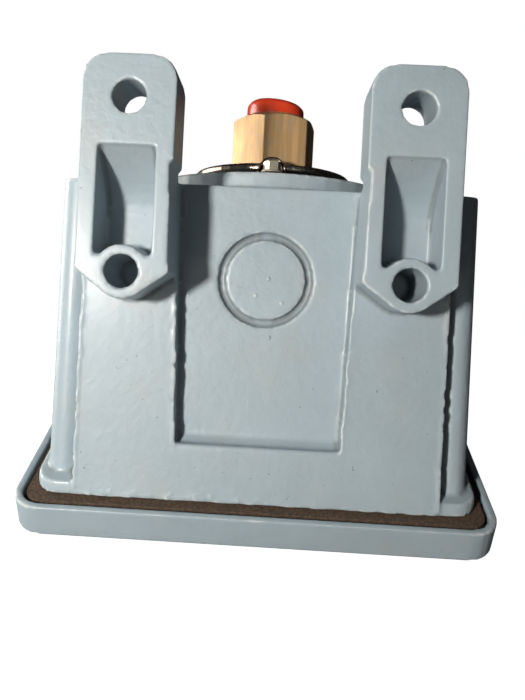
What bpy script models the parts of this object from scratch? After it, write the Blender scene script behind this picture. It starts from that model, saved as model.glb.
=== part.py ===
"""Pressure switch in a die-cast enclosure, seen with its pressure port pointing up.

Frame: the origin is the centre of the four-hole mounting pattern on the ear faces.
+X runs across the back, +Y runs from the wall into the switch, and +Z points to the port.
All lengths are in metres.
"""
import math

import bmesh
import bpy
from mathutils import Vector

MM = 0.001
GAP = 0.3 * MM                      # clearance between pieces that seat on each other
RUN_GAP = 0.35 * MM                 # radial clearance of a moving fit
OVERCUT = 2.0 * MM                  # how far a cutter runs past the face it cuts
TURN = math.radians(4.0)            # keeps a drill's facets off the target's own edges

# ---- mounting ears -------------------------------------------------------------------
HOLE_SPACING_X = 60.325 * MM        # 2 3/8 in
HOLE_SPACING_Z = 36.5125 * MM       # 1 7/16 in
MOUNT_HOLE_R = 3.57 * MM            # 9/32 in diameter
EAR_WIDTH = 20.0 * MM
EAR_THICK = 12.0 * MM               # ear face to pad face
EAR_TOP_MARGIN = 8.9 * MM           # above the upper hole centre
EAR_CORNER_R = 5.0 * MM
EAR_TIP_R = 5.9 * MM                # round tip about the lower hole
EAR_TIP_ANGLE = math.radians(36.0)
LOWER_HOLE_DEPTH = 16.5 * MM
POCKET_WIDTH = 12.3 * MM
POCKET_TOP_DROP = 10.0 * MM         # pocket top below the upper hole centre
POCKET_BOTTOM_RISE = 3.5 * MM       # pocket floor end above the lower hole centre
POCKET_DEPTH = 10.6 * MM
POCKET_LIP_DEPTH = 0.4 * MM         # depth where the scooped floor starts
POCKET_SCOOP = 13.3 * MM            # length of the scooped stretch
HOLE_RING_R = 5.7 * MM              # wall left round the lower hole

# ---- enclosure -----------------------------------------------------------------------
BODY_WIDTH = 98.8 * MM
BODY_DRAFT = 0.7 * MM               # each side is this much narrower at the top
BODY_DEPTH = 76.0 * MM              # recessed panel to front
BODY_BACK_HEIGHT = 73.2 * MM        # top face to the flange face, along the back
BODY_TOP_DROP = 15.0 * MM           # top face below the upper hole centre
COLUMN_R = 3.9 * MM                 # rounded column down each back corner
FRONT_CORNER_R = 5.0 * MM
WALL = 3.0 * MM
PAD_RISE = 4.0 * MM                 # pads stand this far off the recessed panel
STRIP_SETBACK = 0.8 * MM            # valley beside each column, behind the recessed panel
COLUMN_RISE = 1.8 * MM              # column crown above that valley
FLANGE_SETBACK = 0.3 * MM           # flange edge behind the pads
BURY = 0.5 * MM                     # how far a joined shape runs into its neighbour
PAD_WIDTH = 83.2 * MM
PANEL_TOP_WIDTH = 41.7 * MM
PANEL_BOTTOM_WIDTH = 38.0 * MM
PANEL_HEIGHT = 59.8 * MM            # top face to the lower step of the panel
SLANT = math.radians(25.0)          # the cover plane rises this much towards the front
FLANGE_FLARE = 1.65 * MM             # flange beyond the body sides
FLANGE_THICK = 3.0 * MM
FLANGE_CORNER_R = 5.0 * MM
KNOCKOUT_R = 11.1 * MM              # 7/8 in
KNOCKOUT_DISC_R = 9.25 * MM
KNOCKOUT_DEPTH = 1.5 * MM
BOSS_R = 34.0 * MM
BOSS_HEIGHT = 4.4 * MM
BOSS_SETBACK = 37.5 * MM            # boss axis in front of the recessed panel

# ---- cover, gasket and cover screws --------------------------------------------------
COVER_LIP_GAP = 2.55 * MM            # flange edge to the inside of the lip
COVER_LIP = 1.8 * MM
COVER_DEPTH = 8.0 * MM
COVER_FLOOR = 2.2 * MM
COVER_CORNER_R = 6.5 * MM
GASKET_THICK = 2.3 * MM
GASKET_MARGIN = 1.7 * MM            # gasket beyond the flange edge
GASKET_WIDTH = 6.0 * MM
COVER_POST_R = 4.6 * MM
COVER_POST_LENGTH = 10.0 * MM
COVER_POST_INSET = 4.0 * MM         # post centre inside the side wall
COVER_POST_REAR = 6.5 * MM          # rear posts in front of the back wall
COVER_POST_FRONT = 3.5 * MM         # front posts behind the front wall
COVER_SCREW_R = 1.9 * MM
COVER_SCREW_HEAD_R = 3.8 * MM
COVER_SCREW_HEAD = 2.6 * MM
COVER_SCREW_REACH = 8.0 * MM        # thread length inside the post
SLOT_WIDTH = 1.0 * MM
SLOT_DEPTH = 1.1 * MM
NAMEPLATE_SIZE = (58.0 * MM, 34.0 * MM, 0.5 * MM)

# ---- pressure sensor -----------------------------------------------------------------
SENSOR_RECESS_R = 16.3 * MM
SENSOR_RECESS_DEPTH = 3.0 * MM
SENSOR_BASE_THICK = 2.5 * MM
DIAPHRAGM_THICK = 0.4 * MM
FLANGE_DISC_R = 22.0 * MM
FLANGE_DISC_THICK = 2.1 * MM
FLANGE_STEP_R = 17.5 * MM
FLANGE_STEP_THICK = 1.8 * MM
O_RING_R = 13.0 * MM
O_RING_WIRE_R = 0.6 * MM
HEX_FLATS = 21.0 * MM
HEX_HEIGHT = 16.3 * MM
HEX_TURN = math.radians(17.5)
HEX_FACE_R = 8.7 * MM                # flat ring that the chamfer leaves on top
PORT_R = 5.75 * MM                  # 1/4 in pipe thread, mouth
PORT_TAPER = 0.35 * MM
PORT_LEAD = 0.7 * MM                # countersink at the mouth
PORT_DEPTH = 13.5 * MM
PORT_PASSAGE_R = 1.6 * MM
SPIGOT_R = 7.7 * MM
SENSOR_SCREW_COUNT = 3
SENSOR_SCREW_CIRCLE_R = 20.7 * MM
SENSOR_SCREW_R = 1.3 * MM
SENSOR_SCREW_FLATS = 4.0 * MM
SENSOR_SCREW_HEAD = 3.2 * MM
SENSOR_SCREW_REACH = 6.0 * MM       # below the boss top
SENSOR_NOTCH_R = 3.2 * MM
SENSOR_LUG_R = 4.0 * MM
SENSOR_LUG_THICK = 1.2 * MM

# ---- port plug -----------------------------------------------------------------------
PLUG_HEAD_R = 8.2 * MM
PLUG_HEAD = 5.0 * MM
PLUG_HEAD_ROUND = 1.5 * MM
PLUG_STEM_PLAY = 0.4 * MM           # stem clearance at the narrow end of the bore
PLUG_STEM = 7.0 * MM
PLUG_WALL = 1.1 * MM

# ---- mechanism -----------------------------------------------------------------------
SHEET = 1.5 * MM                    # plate thickness of chassis and brackets
CHASSIS_LEFT = 19.0 * MM
CHASSIS_RIGHT = 12.0 * MM
CHASSIS_SPAN = 34.0 * MM            # between the middles of the two legs
CHASSIS_LEG = 37.0 * MM
CHASSIS_SLOT_WIDTH = 3.4 * MM
CHASSIS_SCREW_X = 6.0 * MM
CHASSIS_SCREW_Y = 11.6 * MM
FASTENER_R = 1.6 * MM
FASTENER_HEAD_R = 3.0 * MM
FASTENER_HEAD = 2.2 * MM
FASTENER_REACH = 2.1 * MM           # screw length inside the ceiling
PLUNGER_R = 2.2 * MM
PLUNGER_HEAD_R = 6.0 * MM
PLUNGER_HEAD = 0.95 * MM
PLUNGER_SHOULDER_R = 4.0 * MM
PLUNGER_SHOULDER_Z = -2.9 * MM      # top of the shoulder below the top wall
PLUNGER_SHOULDER = 1.2 * MM
PLUNGER_COLLAR_R = 7.0 * MM
PLUNGER_COLLAR_DROP = 1.3 * MM      # collar below the lever
PLUNGER_COLLAR = 2.0 * MM
PLUNGER_NOSE = 2.0 * MM
LEVER_PIVOT_X = -16.0 * MM
LEVER_WIDTH = 9.0 * MM
LEVER_BARREL_R = 2.8 * MM
LEVER_PIN_R = 1.25 * MM
LEVER_OVERHANG = 4.0 * MM           # lever past the switch button
SPRING_R = 5.2 * MM
SPRING_WIRE_R = 0.7 * MM
SPRING_LENGTH = 15.0 * MM
SPRING_TURNS = 5
SEAT_WIDTH = 14.0 * MM
SEAT_THICK = 4.0 * MM
SEAT_TO_CLIP = 3.9 * MM             # free travel of the seat towards the lower plate
ADJUST_R = 3.0 * MM
ADJUST_ENTRY = 4.5 * MM             # screw tip above the seat, inside the spring
CLIP_R = 5.0 * MM
CLIP_THICK = 0.8 * MM
LOWER_PLATE_THICK = 2.0 * MM
ADJUST_FLATS = 15.875 * MM          # 5/8 in
ADJUST_HEAD = 6.0 * MM
SCALE_SIZE = (20.0 * MM, 0.8 * MM, 22.0 * MM)
POINTER_WIDTH = 2.4 * MM
POINTER_HEIGHT = 1.6 * MM
POINTER_ARROW = 8.0 * MM

# ---- snap switch ---------------------------------------------------------------------
SWITCH_SIZE = (17.5 * MM, 49.0 * MM, 20.0 * MM)
SWITCH_LEFT = 14.0 * MM             # left face of the snap switch
SWITCH_DROP = 1.7 * MM              # switch top below the lever
BUTTON_R = 2.0 * MM
BUTTON_STEM = 5.0 * MM
BUTTON_WELL = 7.0 * MM
SWITCH_HOLE_Y = 12.7 * MM
SWITCH_HOLE_Z = 10.0 * MM
TERMINAL_PITCH = 18.0 * MM
TERMINAL_SIZE = (7.5 * MM, 8.0 * MM, 1.0 * MM)
BRACKET_LENGTH = 41.0 * MM
BRACKET_DROP = 29.0 * MM
BRACKET_FOOT = 11.0 * MM
INSULATOR_SIZE = (0.5 * MM, 44.0 * MM, 26.0 * MM)
GROUND_SCREW_X = -29.0 * MM

# ---- places that follow from the sizes above -----------------------------------------
HOLE_X = HOLE_SPACING_X / 2
HOLE_Z = HOLE_SPACING_Z / 2
PAD_Y = EAR_THICK
PANEL_Y = PAD_Y + PAD_RISE
FRONT_Y = PANEL_Y + BODY_DEPTH
TOP_Z = HOLE_Z - BODY_TOP_DROP
FLANGE_Z = TOP_Z - BODY_BACK_HEIGHT
FLANGE_HALF = BODY_WIDTH / 2 + FLANGE_FLARE
FLANGE_FRONT_Y = FRONT_Y + FLANGE_FLARE
FLANGE_LENGTH = (FLANGE_FRONT_Y - PAD_Y) / math.cos(SLANT)
AXIS_Y = PANEL_Y + BOSS_SETBACK
BOSS_Z = TOP_Z + BOSS_HEIGHT
RECESS_Z = BOSS_Z - SENSOR_RECESS_DEPTH
CEILING_Z = TOP_Z - WALL
BASE_Z = RECESS_Z + GAP
DIAPHRAGM_Z = BASE_Z + SENSOR_BASE_THICK + GAP
STEP_Z = DIAPHRAGM_Z + DIAPHRAGM_THICK + GAP
DISC_Z = STEP_Z + FLANGE_STEP_THICK
HEX_Z = DISC_Z + FLANGE_DISC_THICK + GAP
PORT_TOP_Z = HEX_Z + HEX_HEIGHT
PLUG_STEM_R = PORT_R - PORT_TAPER - PLUG_STEM_PLAY
CHASSIS_Z = CEILING_Z - GAP
SHOULDER_Z = CEILING_Z + PLUNGER_SHOULDER_Z
LEVER_Z = SHOULDER_Z - PLUNGER_SHOULDER - GAP
COLLAR_Z = LEVER_Z - SHEET - PLUNGER_COLLAR_DROP
SPRING_Z = COLLAR_Z - PLUNGER_COLLAR - GAP
SEAT_Z = SPRING_Z - SPRING_LENGTH - GAP
CLIP_Z = SEAT_Z - SEAT_THICK - SEAT_TO_CLIP
LOWER_PLATE_Z = CLIP_Z - CLIP_THICK - GAP
ADJUST_HEAD_Z = LOWER_PLATE_Z - LOWER_PLATE_THICK - GAP
SWITCH_Z = LEVER_Z - SHEET - SWITCH_DROP
SWITCH_X = SWITCH_LEFT + SWITCH_SIZE[0] / 2
COVER_HALF = FLANGE_HALF + COVER_LIP_GAP + COVER_LIP
POST_X = BODY_WIDTH / 2 - WALL - COVER_POST_INSET
POST_REAR_Y = PANEL_Y + WALL + COVER_POST_REAR
POST_FRONT_Y = FRONT_Y - WALL - COVER_POST_FRONT

PAINT = ("grey_blue_paint", (0.34, 0.43, 0.49), 0.38, 0.0)
RUBBER = ("brown_gasket", (0.07, 0.045, 0.03), 0.85, 0.0)
STEEL = ("zinc_plated_steel", (0.62, 0.61, 0.58), 0.32, 1.0)
DARK_STEEL = ("dark_polished_steel", (0.16, 0.13, 0.10), 0.22, 1.0)
BRASS = ("nickelled_brass", (0.66, 0.50, 0.32), 0.34, 1.0)
RED = ("red_plastic", (0.75, 0.05, 0.02), 0.30, 0.0)
BLACK = ("black_phenolic", (0.02, 0.02, 0.022), 0.45, 0.0)
IVORY = ("ivory_plastic", (0.78, 0.74, 0.62), 0.40, 0.0)
FIBRE = ("grey_fibre", (0.32, 0.33, 0.34), 0.75, 0.0)
GREEN = ("green_screw", (0.05, 0.30, 0.10), 0.40, 0.0)


def clear_scene():
    for item in list(bpy.data.objects):
        bpy.data.objects.remove(item, do_unlink=True)


def make_material(spec):
    name, color, roughness, metallic = spec
    material = bpy.data.materials.get(name)
    if material is None:
        material = bpy.data.materials.new(name)
        material.use_nodes = True
        shader = material.node_tree.nodes["Principled BSDF"]
        shader.inputs["Base Color"].default_value = (*color, 1.0)
        shader.inputs["Roughness"].default_value = roughness
        shader.inputs["Metallic"].default_value = metallic
        material.diffuse_color = (*color, 1.0)
    return material


def make_object(name, bm, spec=None, location=(0, 0, 0), parent=None):
    """Turn a bmesh into a named object and place it."""
    bmesh.ops.recalc_face_normals(bm, faces=bm.faces)
    mesh = bpy.data.meshes.new(name)
    bm.to_mesh(mesh)
    bm.free()
    mesh.shade_smooth()
    mesh.set_sharp_from_angle(angle=math.radians(30.0))
    thing = bpy.data.objects.new(name, mesh)
    bpy.context.scene.collection.objects.link(thing)
    thing.location = location
    thing.parent = parent
    if spec is not None:
        mesh.materials.append(make_material(spec))
    return thing


def as_tool(thing):
    """Mark an object as a cutter or an addition, which is not a piece itself."""
    thing.hide_render = True
    thing.display_type = "WIRE"
    return thing


def combine(target, tool, operation):
    modifier = target.modifiers.new(tool.name, "BOOLEAN")
    modifier.operation = operation
    modifier.solver = "EXACT"
    modifier.object = as_tool(tool)


def cut(target, tool):
    combine(target, tool, "DIFFERENCE")


def add(target, tool):
    combine(target, tool, "UNION")


def make_empty(name, location, rotation=(0, 0, 0)):
    empty = bpy.data.objects.new(name, None)
    empty.location = location
    empty.rotation_euler = rotation
    bpy.context.scene.collection.objects.link(empty)
    return empty


def cap(bm, low, high):
    """Close two rings of vertices into a solid."""
    bm.faces.new(list(reversed(low)))
    bm.faces.new(high)
    count = len(low)
    for index in range(count):
        after = (index + 1) % count
        bm.faces.new((low[index], low[after], high[after], high[index]))


def slab(outline, low, high):
    """A solid over an XY outline. low and high give z for a point, or are plain heights."""
    bm = bmesh.new()
    bottom_of = low if callable(low) else lambda x, y: low
    top_of = high if callable(high) else lambda x, y: high
    bottom = [bm.verts.new((x, y, bottom_of(x, y))) for x, y in outline]
    top = [bm.verts.new((x, y, top_of(x, y))) for x, y in outline]
    cap(bm, bottom, top)
    return bm


def wall_plate(outline, y_low, y_high):
    """A solid over an XZ outline, from y_low to y_high."""
    bm = bmesh.new()
    back = [bm.verts.new((x, y_low, z)) for x, z in outline]
    front = [bm.verts.new((x, y_high, z)) for x, z in outline]
    cap(bm, back, front)
    return bm


def side_plate(outline, x_low, x_high):
    """A solid over a YZ outline, from x_low to x_high."""
    bm = bmesh.new()
    left = [bm.verts.new((x_low, y, z)) for y, z in outline]
    right = [bm.verts.new((x_high, y, z)) for y, z in outline]
    cap(bm, left, right)
    return bm


def block(low, high):
    outline = [(low[0], low[1]), (high[0], low[1]), (high[0], high[1]), (low[0], high[1])]
    return slab(outline, low[2], high[2])


def arc(centre, radius, start, end, steps):
    """Points on an arc, both ends included. Angles are in radians."""
    points = []
    for index in range(steps + 1):
        angle = start + (end - start) * index / steps
        points.append((centre[0] + radius * math.cos(angle), centre[1] + radius * math.sin(angle)))
    return points


def rounded_box(x_low, x_high, y_low, y_high, low_r, high_r, steps=4):
    """A rectangle with one corner radius at its low-y end and one at its high-y end."""
    quarter = math.pi / 2
    return (
        arc((x_high - low_r, y_low + low_r), low_r, -quarter, 0.0, steps)
        + arc((x_high - high_r, y_high - high_r), high_r, 0.0, quarter, steps)
        + arc((x_low + high_r, y_high - high_r), high_r, quarter, 2 * quarter, steps)
        + arc((x_low + low_r, y_low + low_r), low_r, 2 * quarter, 3 * quarter, steps)
    )


def turned(profile, segments=32):
    """Revolve (radius, z) points about Z. Points with no radius become poles."""
    bm = bmesh.new()
    rings = []
    for radius, z in profile:
        if radius == 0.0:
            rings.append([bm.verts.new((0.0, 0.0, z))])
            continue
        ring = []
        for index in range(segments):
            angle = 2 * math.pi * index / segments
            ring.append(bm.verts.new((radius * math.cos(angle), radius * math.sin(angle), z)))
        rings.append(ring)
    closed = profile[0][0] != 0.0
    last = len(rings) if closed else len(rings) - 1
    for row in range(last):
        here = rings[row]
        there = rings[(row + 1) % len(rings)]
        for index in range(segments):
            after = (index + 1) % segments
            if len(here) == 1:
                bm.faces.new((here[0], there[after], there[index]))
            elif len(there) == 1:
                bm.faces.new((here[index], here[after], there[0]))
            else:
                bm.faces.new((here[index], here[after], there[after], there[index]))
    return bm


def cylinder(radius, low, high, segments=24):
    return turned([(0.0, low), (radius, low), (radius, high), (0.0, high)], segments)


def polygon(sides, flats, turn=0.0):
    """Corner points of a regular polygon, given the distance across its flats."""
    radius = flats / 2 / math.cos(math.pi / sides)
    return arc((0.0, 0.0), radius, turn, turn + 2 * math.pi * (sides - 1) / sides, sides - 1)


def cover_plane(x, y):
    """Height of the flange face over a point."""
    return FLANGE_Z + (y - PAD_Y) * math.tan(SLANT)


def ear_outline(centre_x):
    """Ear seen from the back: rounded top corners, straight sides and a blunt V tip."""
    half = EAR_WIDTH / 2
    top = HOLE_Z + EAR_TOP_MARGIN
    quarter = math.pi / 2
    corner = EAR_CORNER_R
    tip_from = -quarter - EAR_TIP_ANGLE
    tip_to = -quarter + EAR_TIP_ANGLE
    side_z = (half * math.sin(EAR_TIP_ANGLE) - EAR_TIP_R) / math.cos(EAR_TIP_ANGLE)
    points = [(-half, -HOLE_Z + side_z)]
    points += arc((0.0, -HOLE_Z), EAR_TIP_R, tip_from, tip_to, 6)
    points += [(half, -HOLE_Z + side_z)]
    points += arc((half - corner, top - corner), corner, 0.0, quarter, 4)
    points += arc((corner - half, top - corner), corner, quarter, 2 * quarter, 4)
    return [(centre_x + x, z) for x, z in points]


def pocket_outline():
    """Side view of an ear pocket: a scooped floor that runs down to full depth."""
    top = HOLE_Z - POCKET_TOP_DROP
    bottom = -HOLE_Z + POCKET_BOTTOM_RISE
    rise = POCKET_DEPTH - POCKET_LIP_DEPTH
    points = [(-OVERCUT, bottom), (-OVERCUT, top)]
    steps = 6
    for index in range(steps + 1):
        along = index / steps
        depth = POCKET_LIP_DEPTH + rise * math.sin(along * math.pi / 2)
        points.append((depth, top - POCKET_SCOOP * along))
    points.append((POCKET_DEPTH, bottom))
    return points


def add_ear(body, side):
    centre_x = side * HOLE_X
    suffix = "right" if side > 0 else "left"
    ear = make_object("ear_" + suffix, wall_plate(ear_outline(centre_x), 0.0, PAD_Y + BURY))
    add(body, ear)
    half = POCKET_WIDTH / 2
    pocket = make_object(
        "ear_pocket_" + suffix, side_plate(pocket_outline(), centre_x - half, centre_x + half)
    )
    ring = make_object("ear_ring_" + suffix, cylinder(HOLE_RING_R, 0.0, PAD_Y + 2 * OVERCUT))
    ring.location = (centre_x, PAD_Y, -HOLE_Z)
    ring.rotation_euler = (math.pi / 2, 0, 0)
    cut(pocket, ring)
    cut(body, pocket)
    for name, z, depth in (
        ("upper", HOLE_Z, PAD_Y + WALL + OVERCUT),
        ("lower", -HOLE_Z, LOWER_HOLE_DEPTH),
    ):
        drill = make_object("ear_hole_" + name + "_" + suffix, cylinder(MOUNT_HOLE_R, 0.0, depth + OVERCUT))
        drill.location = (centre_x, depth, z)
        drill.rotation_euler = (math.pi / 2, 0, 0)
        cut(body, drill)


def trim_body(body):
    """Cut the shell, pads and flange off flat at the top face and at the flange face."""
    wide = BODY_WIDTH
    around = [(-wide, -wide), (wide, -wide), (wide, 2 * wide), (-wide, 2 * wide)]
    cut(body, make_object("top_trim", slab(around, TOP_Z, TOP_Z + 4 * OVERCUT)))
    under = lambda x, y: cover_plane(x, y) - 4 * OVERCUT
    cut(body, make_object("flange_face_trim", slab(around, under, cover_plane)))


def shell_outline(half, strip_y):
    """Shell seen from above: a round column down each back corner, rounded front corners."""
    centre_y = strip_y - COLUMN_RISE + COLUMN_R
    valley = math.asin((centre_y - strip_y) / COLUMN_R)
    quarter = math.pi / 2
    right = (half - COLUMN_R, centre_y)
    left = (COLUMN_R - half, centre_y)
    front = FRONT_Y - FRONT_CORNER_R
    side = half - FRONT_CORNER_R
    return (
        arc(right, COLUMN_R, valley - 2 * quarter, 0.0, 8)
        + arc((side, front), FRONT_CORNER_R, 0.0, quarter, 4)
        + arc((-side, front), FRONT_CORNER_R, quarter, 2 * quarter, 4)
        + arc(left, COLUMN_R, 2 * quarter, 4 * quarter - valley, 8)
    )


def build_enclosure(cover_frame):
    half = BODY_WIDTH / 2
    strip_y = PANEL_Y + STRIP_SETBACK
    outer = shell_outline(half, strip_y)
    lowered = lambda x, y: cover_plane(x, y) - OVERCUT
    shell = slab(outer, lowered, TOP_Z + OVERCUT)
    for vert in shell.verts:
        above = max(0.0, vert.co.z - FLANGE_Z) / BODY_BACK_HEIGHT
        vert.co.x *= 1.0 - above * BODY_DRAFT / half
    body = make_object("enclosure_body", shell, PAINT)

    pad_half = PAD_WIDTH / 2
    pad_end = PANEL_Y + WALL / 2
    pads = [(-pad_half, PAD_Y), (pad_half, PAD_Y), (pad_half, pad_end), (-pad_half, pad_end)]
    under = lambda x, y: cover_plane(x, y) - 2 * OVERCUT
    add(body, make_object("pads", slab(pads, under, TOP_Z + 2 * OVERCUT)))

    flange = rounded_box(
        -FLANGE_HALF, FLANGE_HALF, PAD_Y + FLANGE_SETBACK, FLANGE_FRONT_Y, FLANGE_CORNER_R, FRONT_CORNER_R
    )
    deep = lambda x, y: cover_plane(x, y) - 3 * OVERCUT
    raised = lambda x, y: cover_plane(x, y) + FLANGE_THICK
    add(body, make_object("flange", slab(flange, deep, raised)))
    trim_body(body)

    boss = make_object("boss", cylinder(BOSS_R, TOP_Z - BURY, BOSS_Z, 48))
    boss.location = (0, AXIS_Y, 0)
    add(body, boss)
    for side in (-1, 1):
        add_ear(body, side)

    bottom = TOP_Z - PANEL_HEIGHT
    top_half = PANEL_TOP_WIDTH / 2
    low_half = PANEL_BOTTOM_WIDTH / 2
    widen = (top_half - low_half) / PANEL_HEIGHT * OVERCUT
    recess = [
        (-low_half, bottom),
        (low_half, bottom),
        (top_half + widen, TOP_Z + OVERCUT),
        (-top_half - widen, TOP_Z + OVERCUT),
    ]
    cut(body, make_object("panel_recess", wall_plate(recess, -OVERCUT, PANEL_Y)))

    cavity = rounded_box(-half + WALL, half - WALL, PANEL_Y + WALL, FRONT_Y - WALL, 1.5 * MM, 3 * MM)
    below = lambda x, y: cover_plane(x, y) - OVERCUT
    cut(body, make_object("cavity", slab(cavity, below, CEILING_Z)))
    add_cover_posts(body, cover_frame)
    cut_knockout(body)
    cut_sensor_seat(body)
    return body


def post_places():
    """Post centres in the cover frame: (x, distance along the slant)."""
    return [
        (side * POST_X, (y - PAD_Y) / math.cos(SLANT))
        for y in (POST_REAR_Y, POST_FRONT_Y)
        for side in (-1, 1)
    ]


def add_cover_posts(body, cover_frame):
    for index, (x, along) in enumerate(post_places(), 1):
        post = make_object("post_%d" % index, cylinder(COVER_POST_R, GAP, COVER_POST_LENGTH, 20))
        post.parent = cover_frame
        post.location = (x, along, 0)
        add(body, post)
    for index, (x, along) in enumerate(post_places(), 1):
        depth = COVER_SCREW_REACH + GAP
        drill = make_object("post_drill_%d" % index, cylinder(COVER_SCREW_R + GAP, -OVERCUT, depth, 16))
        drill.parent = cover_frame
        drill.location = (x, along, 0)
        cut(body, drill)


def cut_knockout(body):
    """A cast groove round a disc that an installer can punch out for a conduit."""
    depth = KNOCKOUT_DEPTH
    ring = turned(
        [
            (KNOCKOUT_DISC_R, 0.0),
            (KNOCKOUT_R, 0.0),
            (KNOCKOUT_R, depth + OVERCUT),
            (KNOCKOUT_DISC_R, depth + OVERCUT),
        ],
        40,
    )
    groove = make_object("knockout_groove", ring)
    groove.location = (0, PANEL_Y + depth, -HOLE_Z)
    groove.rotation_euler = (math.pi / 2, 0, 0)
    cut(body, groove)


def sensor_screw_places():
    places = []
    for index in range(SENSOR_SCREW_COUNT):
        angle = -math.pi / 2 + 2 * math.pi * index / SENSOR_SCREW_COUNT
        x = SENSOR_SCREW_CIRCLE_R * math.cos(angle)
        y = SENSOR_SCREW_CIRCLE_R * math.sin(angle)
        places.append((x, AXIS_Y + y))
    return places


def cut_hole(body, name, radius, place, low, high, segments=16):
    drill = make_object(name, cylinder(radius, low, high, segments))
    drill.location = (place[0], place[1], 0)
    drill.rotation_euler = (0, 0, TURN)
    cut(body, drill)


def cut_sensor_seat(body):
    bore = PLUNGER_R + RUN_GAP
    seat = [
        (0.0, CEILING_Z - OVERCUT), (bore, CEILING_Z - OVERCUT), (bore, RECESS_Z),
        (SENSOR_RECESS_R, RECESS_Z), (SENSOR_RECESS_R, BOSS_Z + OVERCUT), (0.0, BOSS_Z + OVERCUT),
    ]
    cut(body, make_object("sensor_seat", turned(seat, 40), None, (0, AXIS_Y, 0)))
    for index, place in enumerate(sensor_screw_places(), 1):
        low = BOSS_Z - SENSOR_SCREW_REACH - GAP
        high = BOSS_Z + OVERCUT
        cut_hole(body, "sensor_drill_%d" % index, SENSOR_SCREW_R + GAP, place, low, high)
    reach = CEILING_Z + FASTENER_REACH + GAP
    for name, place in ceiling_screw_places():
        cut_hole(body, name + "_drill", FASTENER_R + GAP, place, CEILING_Z - OVERCUT, reach)


def ceiling_screw_places():
    """Screws that run up into the enclosure's ceiling, with the piece that they hold."""
    bracket_x = SWITCH_LEFT + SWITCH_SIZE[0] + GAP + SHEET + BRACKET_FOOT / 2
    bracket_y = BRACKET_LENGTH / 2 - 2 * FASTENER_HEAD_R
    return [
        ("chassis_screw_rear", (-CHASSIS_SCREW_X, AXIS_Y - CHASSIS_SCREW_Y)),
        ("chassis_screw_front", (-CHASSIS_SCREW_X, AXIS_Y + CHASSIS_SCREW_Y)),
        ("bracket_screw_rear", (bracket_x, AXIS_Y - bracket_y)),
        ("bracket_screw_front", (bracket_x, AXIS_Y + bracket_y)),
        ("ground_screw", (GROUND_SCREW_X, AXIS_Y)),
    ]


def cover_outline(margin, corner_r, steps=5):
    """Flange outline in the cover plane, grown by a margin."""
    return rounded_box(
        -FLANGE_HALF - margin, FLANGE_HALF + margin, -margin, FLANGE_LENGTH + margin,
        corner_r, corner_r, steps
    )


def build_cover(cover_frame):
    """A tray whose lip stands round the flange, with a ledge that carries the gasket."""
    lip_inside = COVER_LIP_GAP
    outside = lip_inside + COVER_LIP
    cover = make_object(
        "cover", slab(cover_outline(outside, COVER_CORNER_R), -COVER_DEPTH, 0.0), PAINT, parent=cover_frame
    )
    ledge_z = -GASKET_THICK - 2 * GAP
    seat = cover_outline(lip_inside, COVER_CORNER_R - COVER_LIP)
    cut(cover, make_object("cover_seat", slab(seat, ledge_z, OVERCUT), parent=cover_frame))
    pan_margin = GASKET_MARGIN - GASKET_WIDTH
    pan = cover_outline(pan_margin, 2.0 * MM)
    floor_z = COVER_FLOOR - COVER_DEPTH
    cut(cover, make_object("cover_pan", slab(pan, floor_z, OVERCUT), parent=cover_frame))
    for index, (x, along) in enumerate(post_places(), 1):
        boss = make_object("cover_boss_%d" % index, cylinder(COVER_POST_R, floor_z - GAP, -GAP, 20))
        boss.parent = cover_frame
        boss.location = (x, along, 0)
        add(cover, boss)
    for index, (x, along) in enumerate(post_places(), 1):
        drill = cylinder(COVER_SCREW_R + GAP, -COVER_DEPTH - OVERCUT, OVERCUT, 16)
        hole = make_object("cover_hole_%d" % index, drill)
        hole.parent = cover_frame
        hole.location = (x, along, 0)
        cut(cover, hole)


def build_gasket(cover_frame):
    margin = GASKET_MARGIN
    corner = COVER_CORNER_R - COVER_LIP - (COVER_LIP_GAP - GASKET_MARGIN)
    top = -GAP
    bottom = top - GASKET_THICK
    outline = cover_outline(margin, corner)
    gasket = make_object("cover_gasket", slab(outline, bottom, top), RUBBER, parent=cover_frame)
    inner = cover_outline(margin - GASKET_WIDTH + 2 * GAP, 2.0 * MM)
    opening = slab(inner, bottom - OVERCUT, top + OVERCUT)
    cut(gasket, make_object("gasket_opening", opening, parent=cover_frame))


def slotted_screw(name, spec, shank_r, head_r, head, reach, location, parent=None):
    """A pan-head screw. Its head runs down from z = 0 and its shank runs up by reach."""
    round_r = head * 0.45
    profile = [(0.0, -head), (head_r - round_r, -head), (head_r, round_r - head), (head_r, 0.0)]
    profile += [(shank_r, 0.0), (shank_r, reach - shank_r / 2), (shank_r / 2, reach), (0.0, reach)]
    screw = make_object(name, turned(profile, 16), spec, location, parent)
    half = SLOT_WIDTH / 2
    wide = head_r + OVERCUT
    slot = block((-wide, -half, -head - OVERCUT), (wide, half, SLOT_DEPTH - head))
    cut(screw, make_object(name + "_slot", slot, None, location, parent))
    return screw


def build_cover_screws(cover_frame):
    reach = COVER_DEPTH + GAP + COVER_SCREW_REACH
    for index, (x, along) in enumerate(post_places(), 1):
        place = (x, along, -COVER_DEPTH - GAP)
        slotted_screw(
            "cover_screw_%d" % index, STEEL, COVER_SCREW_R, COVER_SCREW_HEAD_R,
            COVER_SCREW_HEAD, reach, place, cover_frame
        )


def build_nameplate(cover_frame):
    wide, tall, thick = NAMEPLATE_SIZE
    outline = rounded_box(-wide / 2, wide / 2, -tall / 2, tall / 2, 2 * MM, 2 * MM)
    middle = (0, FLANGE_LENGTH / 2, -COVER_DEPTH - GAP - thick)
    make_object("nameplate", slab(outline, 0.0, thick), STEEL, middle, cover_frame)


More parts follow.
